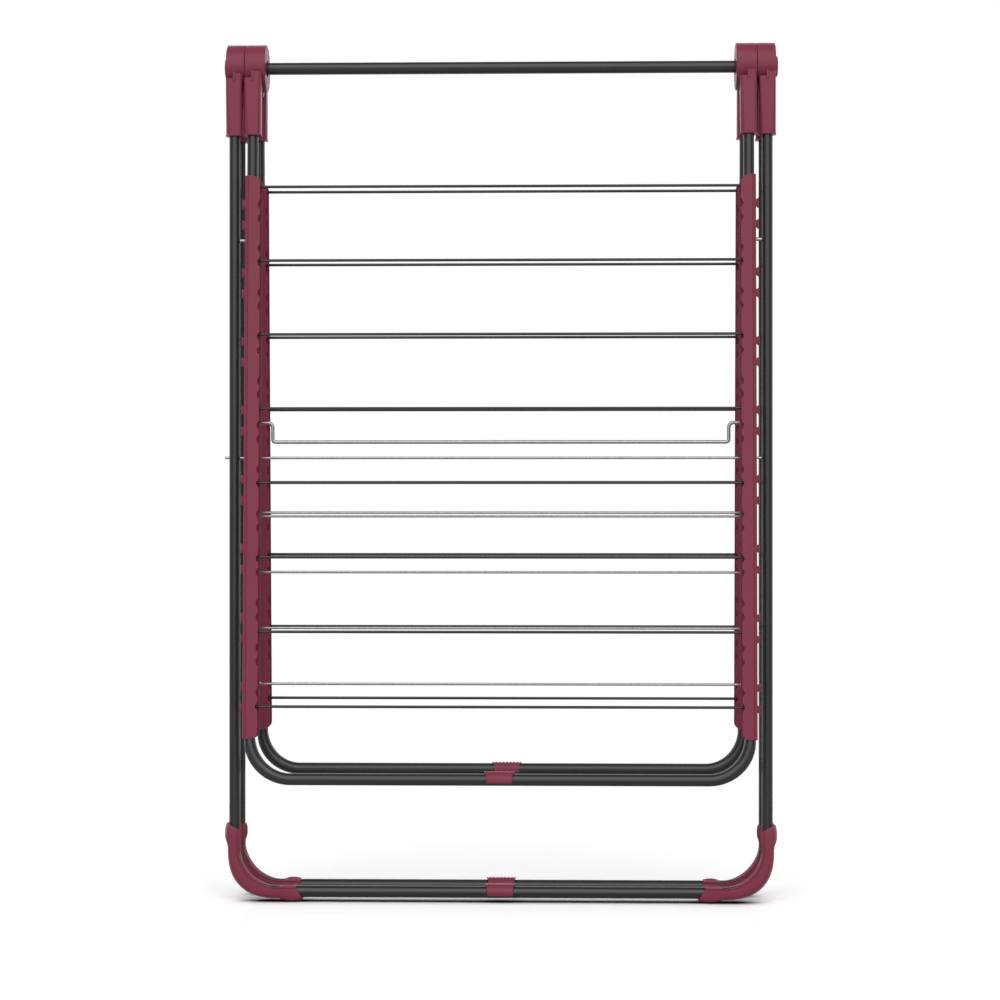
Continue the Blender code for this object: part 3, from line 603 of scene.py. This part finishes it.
def drying_wires():
    """The straight wires between the tubes of each wing."""
    end = WING_X - TUBE_R - FIT / 3
    for side in (FRONT, REAR):
        body = f"{END_NAMES[side]}_wing"
        for i in range(WIRE_COUNT):
            z = -WIRE_STARTS[side] - WIRE_PITCHES[side] * i
            y = side * WING_OFFSET
            wire = as_object(sweep([(-end, y, z), (end, y, z)], WIRE_R, WIRE_SIDES), "wire")
            dress(wire, f"{body}_wire_{i + 1}", body, COATED, member(side, "wing"))


def stay():
    """The wire stay: pins in the front leg tubes, long arms, a jog and the crossbar."""
    corners = [(LEG_X, 0, 0), (STAY_ARM_X, 0, 0), (STAY_ARM_X, 0, -STAY_JOG),
               (STAY_BAR_X, 0, -STAY_JOG), (STAY_BAR_X, 0, -STAY_REACH)]
    corners += [(-x, y, z) for x, y, z in reversed(corners)]
    path = fillet(corners, STAY_BENDS + STAY_BENDS[::-1], WIRE_BEND_STEPS)
    dress(as_object(sweep(path, STAY_R, WIRE_SIDES * 3 // 2), "stay"), "front_stay", "front_stay",
          ZINC_WIRE, Matrix.Translation(STAY_AXIS))


def shelf():
    """The silver rod and the wire grid that hangs from it."""
    ends = [(-LEG_X - TUBE_R - ROD_LEFT_PROUD, 0, 0), (LEG_X + TUBE_R - FIT, 0, 0)]
    rod = as_object(sweep(ends, ROD_R, WIRE_SIDES), "rod")
    dress(rod, "shelf_rod", "front_leg", ZINC_WIRE, Matrix.Translation(SHELF_AXIS))
    eye_r = ROD_R + EYE_GAP + ROD_R
    side_x = SHELF_SIDE_X
    turns = [EYE_TURN * (1 - i / EYE_STEPS) for i in range(EYE_STEPS)]
    eye = [(eye_r * math.cos(a), eye_r * math.sin(a)) for a in turns]
    corners = [(-side_x, eye_r, 0), (-side_x, eye_r, -SHELF_LENGTH),
               (side_x, eye_r, -SHELF_LENGTH), (side_x, eye_r, 0)]
    rim = fillet(corners, (SHELF_CORNER_R, SHELF_CORNER_R), WIRE_BEND_STEPS)
    path = [(-side_x, y, z) for y, z in eye] + rim + [(side_x, y, z) for y, z in reversed(eye)]
    bodies = [sweep(path, ROD_R, WIRE_SIDES)]
    pitch = (SHELF_LENGTH - SHELF_FIRST_ROW) / SHELF_GAPS
    drops = [SHELF_FIRST_ROW + pitch * row for row in range(SHELF_GAPS)]
    drops.append(SHELF_FIRST_ROW - SHELF_PAIR_SPACING)
    for drop in drops:
        bodies.append(sweep([(-side_x, eye_r, -drop), (side_x, eye_r, -drop)], ROD_R, WIRE_SIDES))
    dress(as_object(joined(bodies), "grid"), "shelf_grid", "shelf", ZINC_WIRE,
          Matrix.Translation(SHELF_AXIS))


def socket_ring(x, y, depth, half, share, side):
    """A square ring with round corners, two of them tight where the sleeve leaves the head."""
    growth = half - SLEEVE_HALF
    tight = TIGHT_CORNER_R + (TIGHT_END_R - TIGHT_CORNER_R) * share + growth
    easy = EASY_CORNER_R + (EASY_END_R - EASY_CORNER_R) * share + growth
    ring = []
    for quarter_turn, (x_sign, y_sign) in enumerate(((1, 1), (-1, 1), (-1, -1), (1, -1))):
        corner = tight if x_sign == side else easy
        for step in range(CORNER_STEPS + 1):
            angle = math.pi / 2 * (quarter_turn + step / CORNER_STEPS)
            ring.append((x + x_sign * (half - corner) + corner * math.cos(angle),
                         y + y_sign * (half - corner) + corner * math.sin(angle), -depth))
    return ring


def sleeve(x, offset, side, drop):
    """The socket under a head: square at the top, rounder on one side towards its rim."""
    y = side * offset
    end = SLEEVE_END + drop
    rim_top = end - RIM_HEIGHT
    edge = RIM_HALF - SLEEVE_HALF
    rings = [socket_ring(x, y, SLEEVE_TOP, SLEEVE_HALF - edge / 2, 0, side),
             socket_ring(x, y, SLEEVE_TOP + edge / 2, SLEEVE_HALF, 0, side)]
    for step in range(1, SLEEVE_RINGS + 1):
        share = step / SLEEVE_RINGS
        depth = SLEEVE_TOP + edge / 2 + (rim_top - SLEEVE_TOP - edge) * share
        rings.append(socket_ring(x, y, depth, SLEEVE_HALF, share, side))
    for depth, half in ((rim_top - edge / 2, SLEEVE_HALF + edge / 4), (rim_top, RIM_HALF - edge / 3),
                        (rim_top + edge / 3, RIM_HALF), (end - edge / 3, RIM_HALF),
                        (end, RIM_HALF - edge / 3)):
        rings.append(socket_ring(x, y, depth, half, 1, side))
    body = as_object(skin(rings), "sleeve")
    lower = max(0.0, drop)
    front = y + side * RIM_HALF * 2
    ledge = bevelled_box((x - RIM_HALF * 2, min(y, front) - RIM_HALF * 2,
                          -SLEEVE_TOP - SLEEVE_STEP - lower),
                         (x - RIB_HALF + STEP_EDGE, max(y, front) + RIM_HALF * 2, 0), 0)
    shaped(body, 'DIFFERENCE', [as_object(ledge, "ledge")])
    face = y + side * (SLEEVE_HALF + RIB_PROUD)
    rib = bevelled_box((x - RIB_HALF, min(face, y), -RIB_END - lower),
                       (x + RIB_HALF, max(face, y), -RIB_TOP - lower), LUG_EDGE)
    return body, as_object(rib, "rib")


def bores(x, low, high, offset, side):
    """Tools for the bar's hole through a head and for the tube's socket in its sleeve."""
    bar_bore = turned([(low - HEAD_R, BAR_R + HEAD_GAP), (high + HEAD_R, BAR_R + HEAD_GAP)],
                      HEAD_SEGMENTS // 2)
    y = side * offset
    socket = skin([[(x + SOCKET_R * math.cos(math.tau * k / TUBE_SIDES),
                     y + SOCKET_R * math.sin(math.tau * k / TUBE_SIDES), z) for k in range(TUBE_SIDES)]
                   for z in (-SLEEVE_END * 2, -TUBE_TOP + FIT)])
    return [as_object(bar_bore, "bar_bore"), as_object(socket, "socket")]


def drum_profile(low, high, hand, grooved):
    """(x, radius) from one face of a head to the other, with a recess and grooves in the inner face."""
    rim = []
    for i in range(HEAD_ROUND_STEPS, -1, -1):
        angle = math.pi / 2 * i / HEAD_ROUND_STEPS
        rim.append((HEAD_ROUND * (1 - math.sin(angle)), HEAD_R - HEAD_ROUND * (1 - math.cos(angle))))
    face = [(0.0, BAR_R / 2)]
    if grooved:
        face = [(RECESS_DEPTH, BAR_R / 2), (RECESS_DEPTH, RECESS_R), (0.0, RECESS_R + RECESS_EDGE)]
        for share in GROOVE_RADII_SHARES:
            r = HEAD_R * share
            face += [(0.0, r - GROOVE_HALF), (GROOVE_DEPTH, r - GROOVE_HALF / 2),
                     (GROOVE_DEPTH, r + GROOVE_HALF / 2), (0.0, r + GROOVE_HALF)]
    plain = [(0.0, BAR_R / 2)]
    inner = face + rim if hand == RIGHT else plain + rim
    outer = plain + rim if hand == RIGHT else face + rim
    low_side = [(low + x, r) for x, r in inner]
    high_side = [(high - x, r) for x, r in reversed(outer)]
    return low_side + high_side


def hinge_arm(side, family, hand, low, high, tube_x, offset, travel):
    """A fork at the front and its tongue at the rear, both with a sleeve for the tube."""
    name = f"{END_NAMES[side]}_{family}"
    node = f"{name}_arm_{SIDE_NAMES[hand]}"
    body, rib = sleeve(tube_x, offset, side, SLEEVE_DROPS[side, family])
    middle = (low + high) / 2
    if side == FRONT:
        profile = drum_profile(low, high, hand, family == "wing")
        drum = as_object(turned(profile, HEAD_SEGMENTS), node)
        shaped(drum, 'UNION', [body, rib])
        start, end = -SLOT_MARGIN, NECK_END + travel + SLOT_MARGIN
        outline = arc(HEAD_R * 2, start, end) + arc(HEAD_R - SHELL_WALL, end, start + math.tau)
        half = TONGUE_W / 2 + FIT
        slot = as_object(prism(mirrored(outline, -side), middle - half, middle + half), "slot")
        arm = shaped(drum, 'DIFFERENCE', [slot] + bores(tube_x, low, high, offset, side))
    else:
        clear_r = HEAD_R + HEAD_GAP
        room = turned([(low - HEAD_R, clear_r), (high + HEAD_R, clear_r)], HEAD_SEGMENTS)
        shaped(body, 'UNION', [rib])
        shaped(body, 'DIFFERENCE', [as_object(room, "room")])
        ring = arc(clear_r, 0, BRIDGE_END) + arc(clear_r + BRIDGE_THICKNESS, BRIDGE_END, 0)
        bridge = prism(mirrored(ring, side), tube_x - BRIDGE_W / 2, tube_x + BRIDGE_W / 2)
        tongue_r = HEAD_R - SHELL_WALL - HEAD_GAP
        disc = arc(clear_r + BRIDGE_THICKNESS / 3, 0, NECK_END) + arc(tongue_r, NECK_END, math.tau)
        tongue = prism(mirrored(disc, side), middle - TONGUE_W / 2, middle + TONGUE_W / 2)
        shaped(body, 'UNION', [as_object(bridge, "bridge"), as_object(tongue, "tongue")])
        arm = shaped(body, 'DIFFERENCE', bores(tube_x, low, high, offset, side))
    dress(arm, node, name, PLASTIC, member(side, family))


def hinge_arms():
    """All eight arms, the slots cut for what swings in them."""
    spread = SPLAY[REAR] - SPLAY[FRONT] + 2 * WING_TRAVEL + LEG_TRAVEL
    for hand in (LEFT, RIGHT):
        for family, near, far, tube_x, offset, travel in (
                ("leg", SEAM_X + FIT, HEAD_OUTER_X, LEG_X, LEG_OFFSET, LEG_TRAVEL),
                ("wing", SEAM_X - WING_HEAD_W, SEAM_X, WING_X, WING_OFFSET, spread)):
            low, high = sorted((hand * near, hand * far))
            for side in (FRONT, REAR):
                hinge_arm(side, family, hand, low, high, hand * tube_x, offset, travel)


def axle_caps():
    """The two domed discs on the ends of the bar, each with a spigot in it."""
    face = HEAD_OUTER_X + FIT
    spigot = BAR_R / 2
    profile = [(face - CAP_R / 2, spigot), (face, spigot), (face, CAP_R - FIT), (face + FIT, CAP_R)]
    for i in range(CAP_ROUND_STEPS + 1):
        angle = math.pi / 2 * i / CAP_ROUND_STEPS
        profile.append((face + CAP_THICKNESS - CAP_ROUND + CAP_ROUND * math.sin(angle),
                        CAP_R - CAP_ROUND + CAP_ROUND * math.cos(angle)))
    for hand in (LEFT, RIGHT):
        cap = turned([(hand * x, r) for x, r in profile], HEAD_SEGMENTS // 2)
        dress(as_object(cap, "cap"), f"axle_cap_{SIDE_NAMES[hand]}", "front_leg", PLASTIC,
              Matrix.Translation(AXIS))


def rail_section(y, drop_front, drop_rear, shrink):
    """Points (outward, depth) round the channel, its flanges cut back by the drops."""
    outside = RAIL_INSIDE + RAIL_WALL - shrink
    web = RAIL_INSIDE + RAIL_WEB - shrink
    corner = RAIL_CORNER_R
    tip = RAIL_WALL / 3
    points = []
    rear_tip = -REAR_FLANGE_REACH + drop_rear + shrink
    points += [(rear_tip, outside - tip), (rear_tip + tip, outside)]
    crease = web - corner - RAIL_CREASE
    for sign, start in ((1, 0), (-1, 1)):
        for step in range(CORNER_STEPS + 1):
            angle = math.pi / 2 * (start + step / CORNER_STEPS)
            points.append((web - corner + corner * math.sin(angle),
                           sign * (outside - corner) + corner * math.cos(angle)))
    front_tip = -FLANGE_REACH + drop_front + shrink
    points += [(crease, -outside + RAIL_CREASE), (crease - RAIL_CREASE, -outside)]
    points += [(front_tip + tip, -outside), (front_tip, -outside + tip), (front_tip, -RAIL_INSIDE - tip),
               (front_tip + tip, -RAIL_INSIDE)]
    points += [(RAIL_INSIDE, -RAIL_INSIDE), (RAIL_INSIDE, RAIL_INSIDE)]
    points += [(rear_tip + tip, RAIL_INSIDE), (rear_tip, RAIL_INSIDE + tip)]
    return [(u, y + v) for u, v in points]


def rail_stations():
    """Distances along a rail: close together where it is rounded, even elsewhere."""
    count = round(RAIL_LENGTH / RAIL_STEP)
    stations = [RAIL_LENGTH * i / count for i in range(count + 1)]
    edges = [RAIL_EDGE * share for share in (1 / 3, 1)]
    return sorted(stations + edges + [RAIL_LENGTH - e for e in edges])


def rails():
    """The channels on the wings' tubes, with notched front edges and studs on the outer side."""
    notches = [SCALLOP_START + SCALLOP_PITCH * i + sign * SMALL_LOBE / 2
               for i in range(SCALLOP_COUNT) for sign in (-1, 1)]
    for side in (FRONT, REAR):
        y = side * WING_OFFSET
        for hand in (LEFT, RIGHT):
            rings = []
            for along in rail_stations():
                near = [n for n in notches if abs(n - RAIL_START - along) < NOTCH_HALF]
                wave = sum(NOTCH_DEPTH * bump(RAIL_START + along, n, NOTCH_HALF) for n in near)
                ends = quarter(along, RAIL_TOP_R) + quarter(RAIL_LENGTH - along, RAIL_END_R)
                shrink = quarter(min(along, RAIL_LENGTH - along), RAIL_EDGE)
                section = rail_section(y, wave + ends, ends, shrink)
                rings.append([(hand * (WING_X + u), v, -RAIL_START - along) for u, v in section])
            bodies = [skin(rings)]
            web = RAIL_INSIDE + RAIL_WEB
            for i in range(LUG_PAIRS):
                for j in (0, 1):
                    z = -LUG_START - LUG_PITCH * i - LUG_SPACING * j
                    for low, high, half in (
                            (web - RAIL_WEB / 2, web + LUG_STEM + LUG_HEAD / 2, LUG_STEM_HEIGHT / 2),
                            (web + LUG_STEM, web + LUG_STEM + LUG_HEAD, LUG_HEAD_HEIGHT / 2)):
                        near_x, far_x = sorted((hand * (WING_X + low), hand * (WING_X + high)))
                        depth = LUG_DEPTH / 2 - (LUG_EDGE if half < LUG_HEAD_HEIGHT / 2 else 0)
                        bodies.append(bevelled_box((near_x, y - depth, z - half),
                                                   (far_x, y + depth, z + half), LUG_EDGE))
            body = f"{END_NAMES[side]}_wing"
            dress(as_object(joined(bodies), "rail"), f"{body}_rail_{SIDE_NAMES[hand]}", body, PLASTIC,
                  member(side, "wing"))


def elbow(side, hand):
    """Places along the foot: centre, tangent, distance to the nearer end and the lip's reach there."""
    corner = Vector((hand * LEG_X, side * LEG_OFFSET, -LEG_REACHES[side]))
    length = LEG_BEND_R + FOOT_STRAIGHT
    top = corner + Vector((0, 0, length))
    inner = corner - Vector((hand * length, 0, 0))
    bend = LEG_BEND_R * math.pi / 2
    total = 2 * FOOT_STRAIGHT + bend
    centre = corner + Vector((-hand * LEG_BEND_R, 0, LEG_BEND_R))
    count = round(total / FOOT_STEP)
    tips = [FOOT_EDGE * share for share in FOOT_EDGE_SHARES]
    distances = sorted([total * i / count for i in range(count + 1)] + tips + [total - t for t in tips])
    places = []
    for along in distances:
        if along < FOOT_STRAIGHT:
            places.append((top + Vector((0, 0, -along)), Vector((0, 0, -1)), along, LOBE_R))
        elif along > FOOT_STRAIGHT + bend:
            left = total - along
            point = inner + Vector((hand * left, 0, 0))
            places.append((point, Vector((-hand, 0, 0)), left, LOBE_SOLE_R))
        else:
            angle = (along - FOOT_STRAIGHT) / LEG_BEND_R
            ray = Vector((hand * math.cos(angle), 0, -math.sin(angle)))
            tangent = Vector((-hand * math.sin(angle), 0, -math.cos(angle)))
            lobe_r = LOBE_R if angle < math.pi / 4 else LOBE_SOLE_R
            places.append((centre + ray * LEG_BEND_R, tangent, min(along, total - along), lobe_r))
    return places, total / 2


def foot_section(distance, swell, lobe_r):
    """Half sizes of the foot outwards, inwards and in depth, and how far it wraps round the tube."""
    rise = LOBE_AT - LOBE_FLAT
    grown = math.sqrt(1 - max(0.0, 1 - distance / rise) ** 2)
    lip = 1.0 if distance < rise else bump(distance, LOBE_AT, LOBE_FLAT + LOBE_FALL, LOBE_FLAT)
    outward = FOOT_NECK_R + (lobe_r - FOOT_NECK_R) * lip + (FOOT_MIDDLE_R - FOOT_NECK_R) * swell
    inward = FOOT_INSIDE_R + (LOBE_INSIDE_R - FOOT_INSIDE_R) * lip
    halves = [FOOT_TIP_R + (half - FOOT_TIP_R) * grown - quarter(distance, FOOT_EDGE)
              for half in (outward, inward, FOOT_DEPTH_R)]
    cover = NECK_COVER + (LOBE_COVER - NECK_COVER) * lip + (MIDDLE_COVER - NECK_COVER) * swell
    return halves, cover


def soft_square(angle, halves):
    """Radius at an angle from the outward side of a section between round and square."""
    outward, inward, deep = halves
    across = abs(math.cos(angle)) / (outward if math.cos(angle) > 0 else inward)
    depth = abs(math.sin(angle)) / deep
    return (across ** FOOT_SQUARENESS + depth ** FOOT_SQUARENESS) ** (-1 / FOOT_SQUARENESS)


def foot_outline(halves, cover):
    """(angle, radius) from lip to lip, with a flat strip outside each crease and a groove by each lip."""
    outward, _, deep = halves
    edge_y = deep * CREASE_DEPTH_SHARE
    edge_x = outward * (1 - CREASE_DEPTH_SHARE ** FOOT_SQUARENESS) ** (1 / FOOT_SQUARENESS)
    flat_y = deep * SIDE_FLAT_SHARE
    flat_x = outward * (1 - SIDE_FLAT_SHARE ** FOOT_SQUARENESS) ** (1 / FOOT_SQUARENESS)
    half = []
    for step in range(FOOT_SIDE_STEPS + 1):
        share = step / FOOT_SIDE_STEPS
        x, y = flat_x + (edge_x - flat_x) * share, flat_y + (edge_y - CREASE_STEP - flat_y) * share
        half.append((math.atan2(y, x), math.hypot(x, y)))
    crease = math.atan2(edge_y, edge_x)
    half.append((crease, math.hypot(edge_x, edge_y)))
    for step in range(1, FOOT_ARC_STEPS + 1):
        angle = crease + (cover - crease) * step / FOOT_ARC_STEPS
        line = LIP_LINE_DEPTH * bump(angle, LIP_LINE, LIP_LINE_HALF)
        half.append((angle, soft_square(angle, halves) - line))
    return [(-angle, r) for angle, r in reversed(half)] + [(0.0, outward)] + half


def feet():
    """The C-shaped elbows over the leg bends, with a swollen lip at each end."""
    depth_axis = Vector((0, 1, 0))
    inner_r = BOTTOM_R + FIT / 3
    for side in (FRONT, REAR):
        for hand in (LEFT, RIGHT):
            places, middle = elbow(side, hand)
            rings = []
            for index, (centre, tangent, near, lobe_r) in enumerate(places):
                outward = tangent.cross(depth_axis) * hand
                swell = bump(near, middle, middle - LOBE_AT - LOBE_FLAT - LOBE_FALL)
                halves, cover = foot_section(near, swell, lobe_r)
                pull = FOOT_SLANT * max(0.0, 1 - near / FOOT_STRAIGHT)
                onward = 1 if index < len(places) / 2 else -1
                skin_line = foot_outline(halves, cover)
                lip = min(FOOT_EDGE, (skin_line[0][1] - inner_r) / 2)
                skin_line[0] = (-cover, skin_line[0][1] - lip)
                skin_line[-1] = (cover, skin_line[-1][1] - lip)
                ring = skin_line + [(angle, inner_r) for angle, _ in reversed(skin_line)]
                points = []
                for angle, r in ring:
                    ray = outward * math.cos(angle) + depth_axis * math.sin(angle)
                    slide = tangent * (onward * pull * (1 - math.cos(angle)) / 2)
                    point = centre + slide + ray * r
                    point.z = max(point.z, -AXIS.z)
                    points.append(point)
                rings.append(points)
            body = f"{END_NAMES[side]}_leg"
            dress(as_object(skin(rings), "foot"), f"{END_NAMES[side]}_foot_{SIDE_NAMES[hand]}", body,
                  PLASTIC, member(side, "leg"), FOOT_SHARP_ANGLE)


def clip_section(y, reach, wall, rise, tooth):
    """Points (depth, height, height share) round the clip, with the comb pad on top."""
    inner_r = BOTTOM_R + FIT / 3
    outer_r = inner_r + wall
    pad = inner_r + rise + tooth
    points = []
    for step in range(CLIP_ARC_STEPS + 1):
        angle = CLIP_COVER * (2 * step / CLIP_ARC_STEPS - 1)
        depth, height = outer_r * math.sin(angle), outer_r * math.cos(angle)
        lift = bump(depth, 0, COMB_FOOT_DEPTH, COMB_FLAT_DEPTH) if height > 0 else 0
        points.append((depth, height + (pad - height) * lift))
    for step in range(CLIP_ARC_STEPS, -1, -1):
        angle = CLIP_COVER * (2 * step / CLIP_ARC_STEPS - 1)
        points.append((inner_r * math.sin(angle), inner_r * math.cos(angle)))
    return [(y + u, v - reach, v / (inner_r + rise)) for u, v in points]


def clips():
    """A spring clip with a comb on the middle of each bottom tube."""
    for side in (FRONT, REAR):
        for kind, offset, reach in (("leg", LEG_OFFSET, LEG_REACHES[side]),
                                    ("wing", WING_OFFSET, WING_REACHES[side])):
            set_back = (side, kind) == (REAR, "wing")
            shift = REAR_CLIP_SHIFT if set_back else 0
            wall, rise = (REAR_CLIP_WALL, REAR_COMB_RISE) if set_back else (CLIP_WALL, COMB_RISE)
            count = round(2 * CLIP_HALF / CLIP_STEP)
            rings = []
            for i in range(count + 1):
                x = CLIP_HALF * (2 * i / count - 1)
                wave = (1 + math.cos(math.tau * (COMB_TEETH - 1) * i / count)) / 2
                tooth = TOOTH_HEIGHT * (wave - 1 / 2)
                ring = []
                for y, z, share in clip_section(side * offset, reach, wall, rise, tooth):
                    flare = 1 + CLIP_FLARE / CLIP_HALF * max(0.0, share) ** 3
                    ring.append((shift + x * flare, y, z))
                rings.append(ring)
            body = f"{END_NAMES[side]}_{kind}"
            dress(as_object(skin(rings), "clip"), f"{body}_clip", body, PLASTIC, member(side, kind))


def camera():
    """The camera, where the photograph was taken from."""
    data = bpy.data.cameras.new("camera")
    data.lens = CAMERA_LENS
    data.sensor_width = SENSOR_WIDTH
    obj = bpy.data.objects.new("camera", data)
    obj.location = AXIS + CAMERA_PLACE
    obj.rotation_euler = CAMERA_TURN
    bpy.context.scene.collection.objects.link(obj)
    bpy.context.scene.camera = obj


def worked(tree, operation, first, second=0.0):
    """The result of a Math node whose inputs are numbers or other results."""
    node = tree.nodes.new("ShaderNodeMath")
    node.operation = operation
    for socket, value in zip(node.inputs, (first, second)):
        if isinstance(value, (int, float)):
            socket.default_value = value
        else:
            tree.links.new(value, socket)
    return node.outputs["Value"]


def faded(tree, value, low, high, start, end):
    """A smooth change from start to end while the value goes from low to high."""
    node = tree.nodes.new("ShaderNodeMapRange")
    node.interpolation_type = 'SMOOTHSTEP'
    for name, number in (("From Min", low), ("From Max", high), ("To Min", start), ("To Max", end)):
        node.inputs[name].default_value = number
    tree.links.new(value, node.inputs["Value"])
    return node.outputs["Result"]


def mixed(tree, share, first, second):
    """From the first value to the second as the share goes from 0 to 1."""
    change = worked(tree, 'MULTIPLY', share, worked(tree, 'SUBTRACT', second, first))
    return worked(tree, 'ADD', first, change)


def studio_light(tree):
    """Radiance by direction, with a tall panel, dark sides and a white wall, and the wall's share."""
    coordinates = tree.nodes.new("ShaderNodeTexCoord")
    axes = tree.nodes.new("ShaderNodeSeparateXYZ")
    tree.links.new(coordinates.outputs["Generated"], axes.inputs["Vector"])
    x, y, z = axes.outputs["X"], axes.outputs["Y"], axes.outputs["Z"]
    turn = worked(tree, 'ARCTAN2', z, worked(tree, 'MULTIPLY', y, -1))
    first, last = math.radians(PANEL[0][0]), math.radians(PANEL[-1][0])
    place = worked(tree, 'DIVIDE', worked(tree, 'SUBTRACT', turn, first), last - first)
    ramp = tree.nodes.new("ShaderNodeValToRGB")
    stops = ramp.color_ramp.elements
    while len(stops) < len(PANEL):
        stops.new(1 / 2)
    for stop, (degrees, radiance) in zip(stops, PANEL):
        stop.position = (math.radians(degrees) - first) / (last - first)
        stop.color = (*(radiance / PANEL_PEAK,) * 3, 1)
    tree.links.new(place, ramp.inputs["Fac"])
    panel = worked(tree, 'MULTIPLY', ramp.outputs["Color"], PANEL_PEAK)
    width = faded(tree, worked(tree, 'ABSOLUTE', x), *PANEL_EDGE, 1, 0)
    ahead = mixed(tree, width, DARK_SIDE, panel)
    level = worked(tree, 'SQRT', worked(tree, 'ADD', worked(tree, 'MULTIPLY', x, x),
                                        worked(tree, 'MULTIPLY', y, y)))
    behind = faded(tree, worked(tree, 'DIVIDE', y, level), *WALL_START, 0, 1)
    wall = faded(tree, z, *WALL_TOP, 1, CEILING)
    around = mixed(tree, behind, ahead, wall)
    below = faded(tree, z, *BELOW_LEVEL, 1, 0)
    share = worked(tree, 'MULTIPLY', behind, faded(tree, z, *WALL_TOP, 1, 0))
    share = worked(tree, 'MULTIPLY', share, worked(tree, 'SUBTRACT', 1, below))
    return mixed(tree, below, around, FLOOR_ALBEDO), share


def world():
    """A white surround for the camera, its wall for mirrors and glass, and the studio for the rest."""
    surround = bpy.data.worlds.new("surround")
    bpy.context.scene.world = surround
    surround.use_nodes = True
    tree = surround.node_tree
    tree.nodes.clear()
    output = tree.nodes.new("ShaderNodeOutputWorld")
    light = tree.nodes.new("ShaderNodeBackground")
    radiance, wall_share = studio_light(tree)
    tree.links.new(radiance, light.inputs["Color"])
    white = tree.nodes.new("ShaderNodeBackground")
    white.inputs["Color"].default_value = (1, 1, 1, 1)
    white.inputs["Strength"].default_value = 1.0
    path = tree.nodes.new("ShaderNodeLightPath")
    mirrors = worked(tree, 'MAXIMUM', path.outputs["Is Glossy Ray"], path.outputs["Is Transmission Ray"])
    mirrors = worked(tree, 'MULTIPLY', mirrors, wall_share)
    mix = tree.nodes.new("ShaderNodeMixShader")
    tree.links.new(worked(tree, 'MAXIMUM', path.outputs["Is Camera Ray"], mirrors), mix.inputs["Fac"])
    tree.links.new(light.outputs["Background"], mix.inputs[1])
    tree.links.new(white.outputs["Background"], mix.inputs[2])
    tree.links.new(mix.outputs["Shader"], output.inputs["Surface"])


def floor():
    """A pale floor that keeps the shadow, with a painted contact shadow darkening its colour near the
    rack, white to the camera, which fades into the surround.
    """
    bpy.ops.mesh.primitive_circle_add(vertices=FLOOR_SIDES, radius=FLOOR_R, fill_type='NGON')
    obj = bpy.context.object
    obj.name = "studio_floor"
    material = bpy.data.materials.new("studio_floor")
    material.use_nodes = True
    tree = material.node_tree
    tree.nodes.clear()
    output = tree.nodes.new("ShaderNodeOutputMaterial")
    seen = tree.nodes.new("ShaderNodeBsdfDiffuse")
    # Painted shadow: the floor's colour for the camera darkens where ambient occlusion finds the rack
    # close above it
    near = tree.nodes.new("ShaderNodeAmbientOcclusion")
    near.inputs["Distance"].default_value = PAINTED_SHADOW_REACH
    tree.links.new(faded(tree, near.outputs["AO"], *PAINTED_SHADOW_RANGE, 0, FLOOR_SEEN), seen.inputs["Color"])
    shine = tree.nodes.new("ShaderNodeBsdfGlossy")
    shine.inputs["Color"].default_value = (1, 1, 1, 1)
    shine.inputs["Roughness"].default_value = FLOOR_SHINE_ROUGHNESS
    surface = tree.nodes.new("ShaderNodeMixShader")
    surface.inputs["Fac"].default_value = FLOOR_SHINE_SHARE
    plain = tree.nodes.new("ShaderNodeBsdfDiffuse")
    plain.inputs["Color"].default_value = (FLOOR_ALBEDO, FLOOR_ALBEDO, FLOOR_ALBEDO, 1)
    path = tree.nodes.new("ShaderNodeLightPath")
    chosen = tree.nodes.new("ShaderNodeMixShader")
    clear = tree.nodes.new("ShaderNodeBsdfTransparent")
    fade = tree.nodes.new("ShaderNodeMixShader")
    coordinates = tree.nodes.new("ShaderNodeTexCoord")
    distance = tree.nodes.new("ShaderNodeVectorMath")
    distance.operation = 'LENGTH'
    tree.links.new(seen.outputs["BSDF"], surface.inputs[1])
    tree.links.new(shine.outputs["BSDF"], surface.inputs[2])
    tree.links.new(path.outputs["Is Camera Ray"], chosen.inputs["Fac"])
    tree.links.new(plain.outputs["BSDF"], chosen.inputs[1])
    tree.links.new(surface.outputs["Shader"], chosen.inputs[2])
    tree.links.new(coordinates.outputs["Object"], distance.inputs[0])
    tree.links.new(faded(tree, distance.outputs["Value"], *FLOOR_FADE, 0, 1), fade.inputs["Fac"])
    tree.links.new(chosen.outputs["Shader"], fade.inputs[1])
    tree.links.new(clear.outputs["BSDF"], fade.inputs[2])
    tree.links.new(fade.outputs["Shader"], output.inputs["Surface"])
    obj.data.materials.append(material)


bpy.context.scene.view_settings.view_transform = 'Standard'
camera()
world()
floor()
tube_frames()
top_bar()
drying_wires()
stay()
shelf()
hinge_arms()
axle_caps()
rails()
feet()
clips()
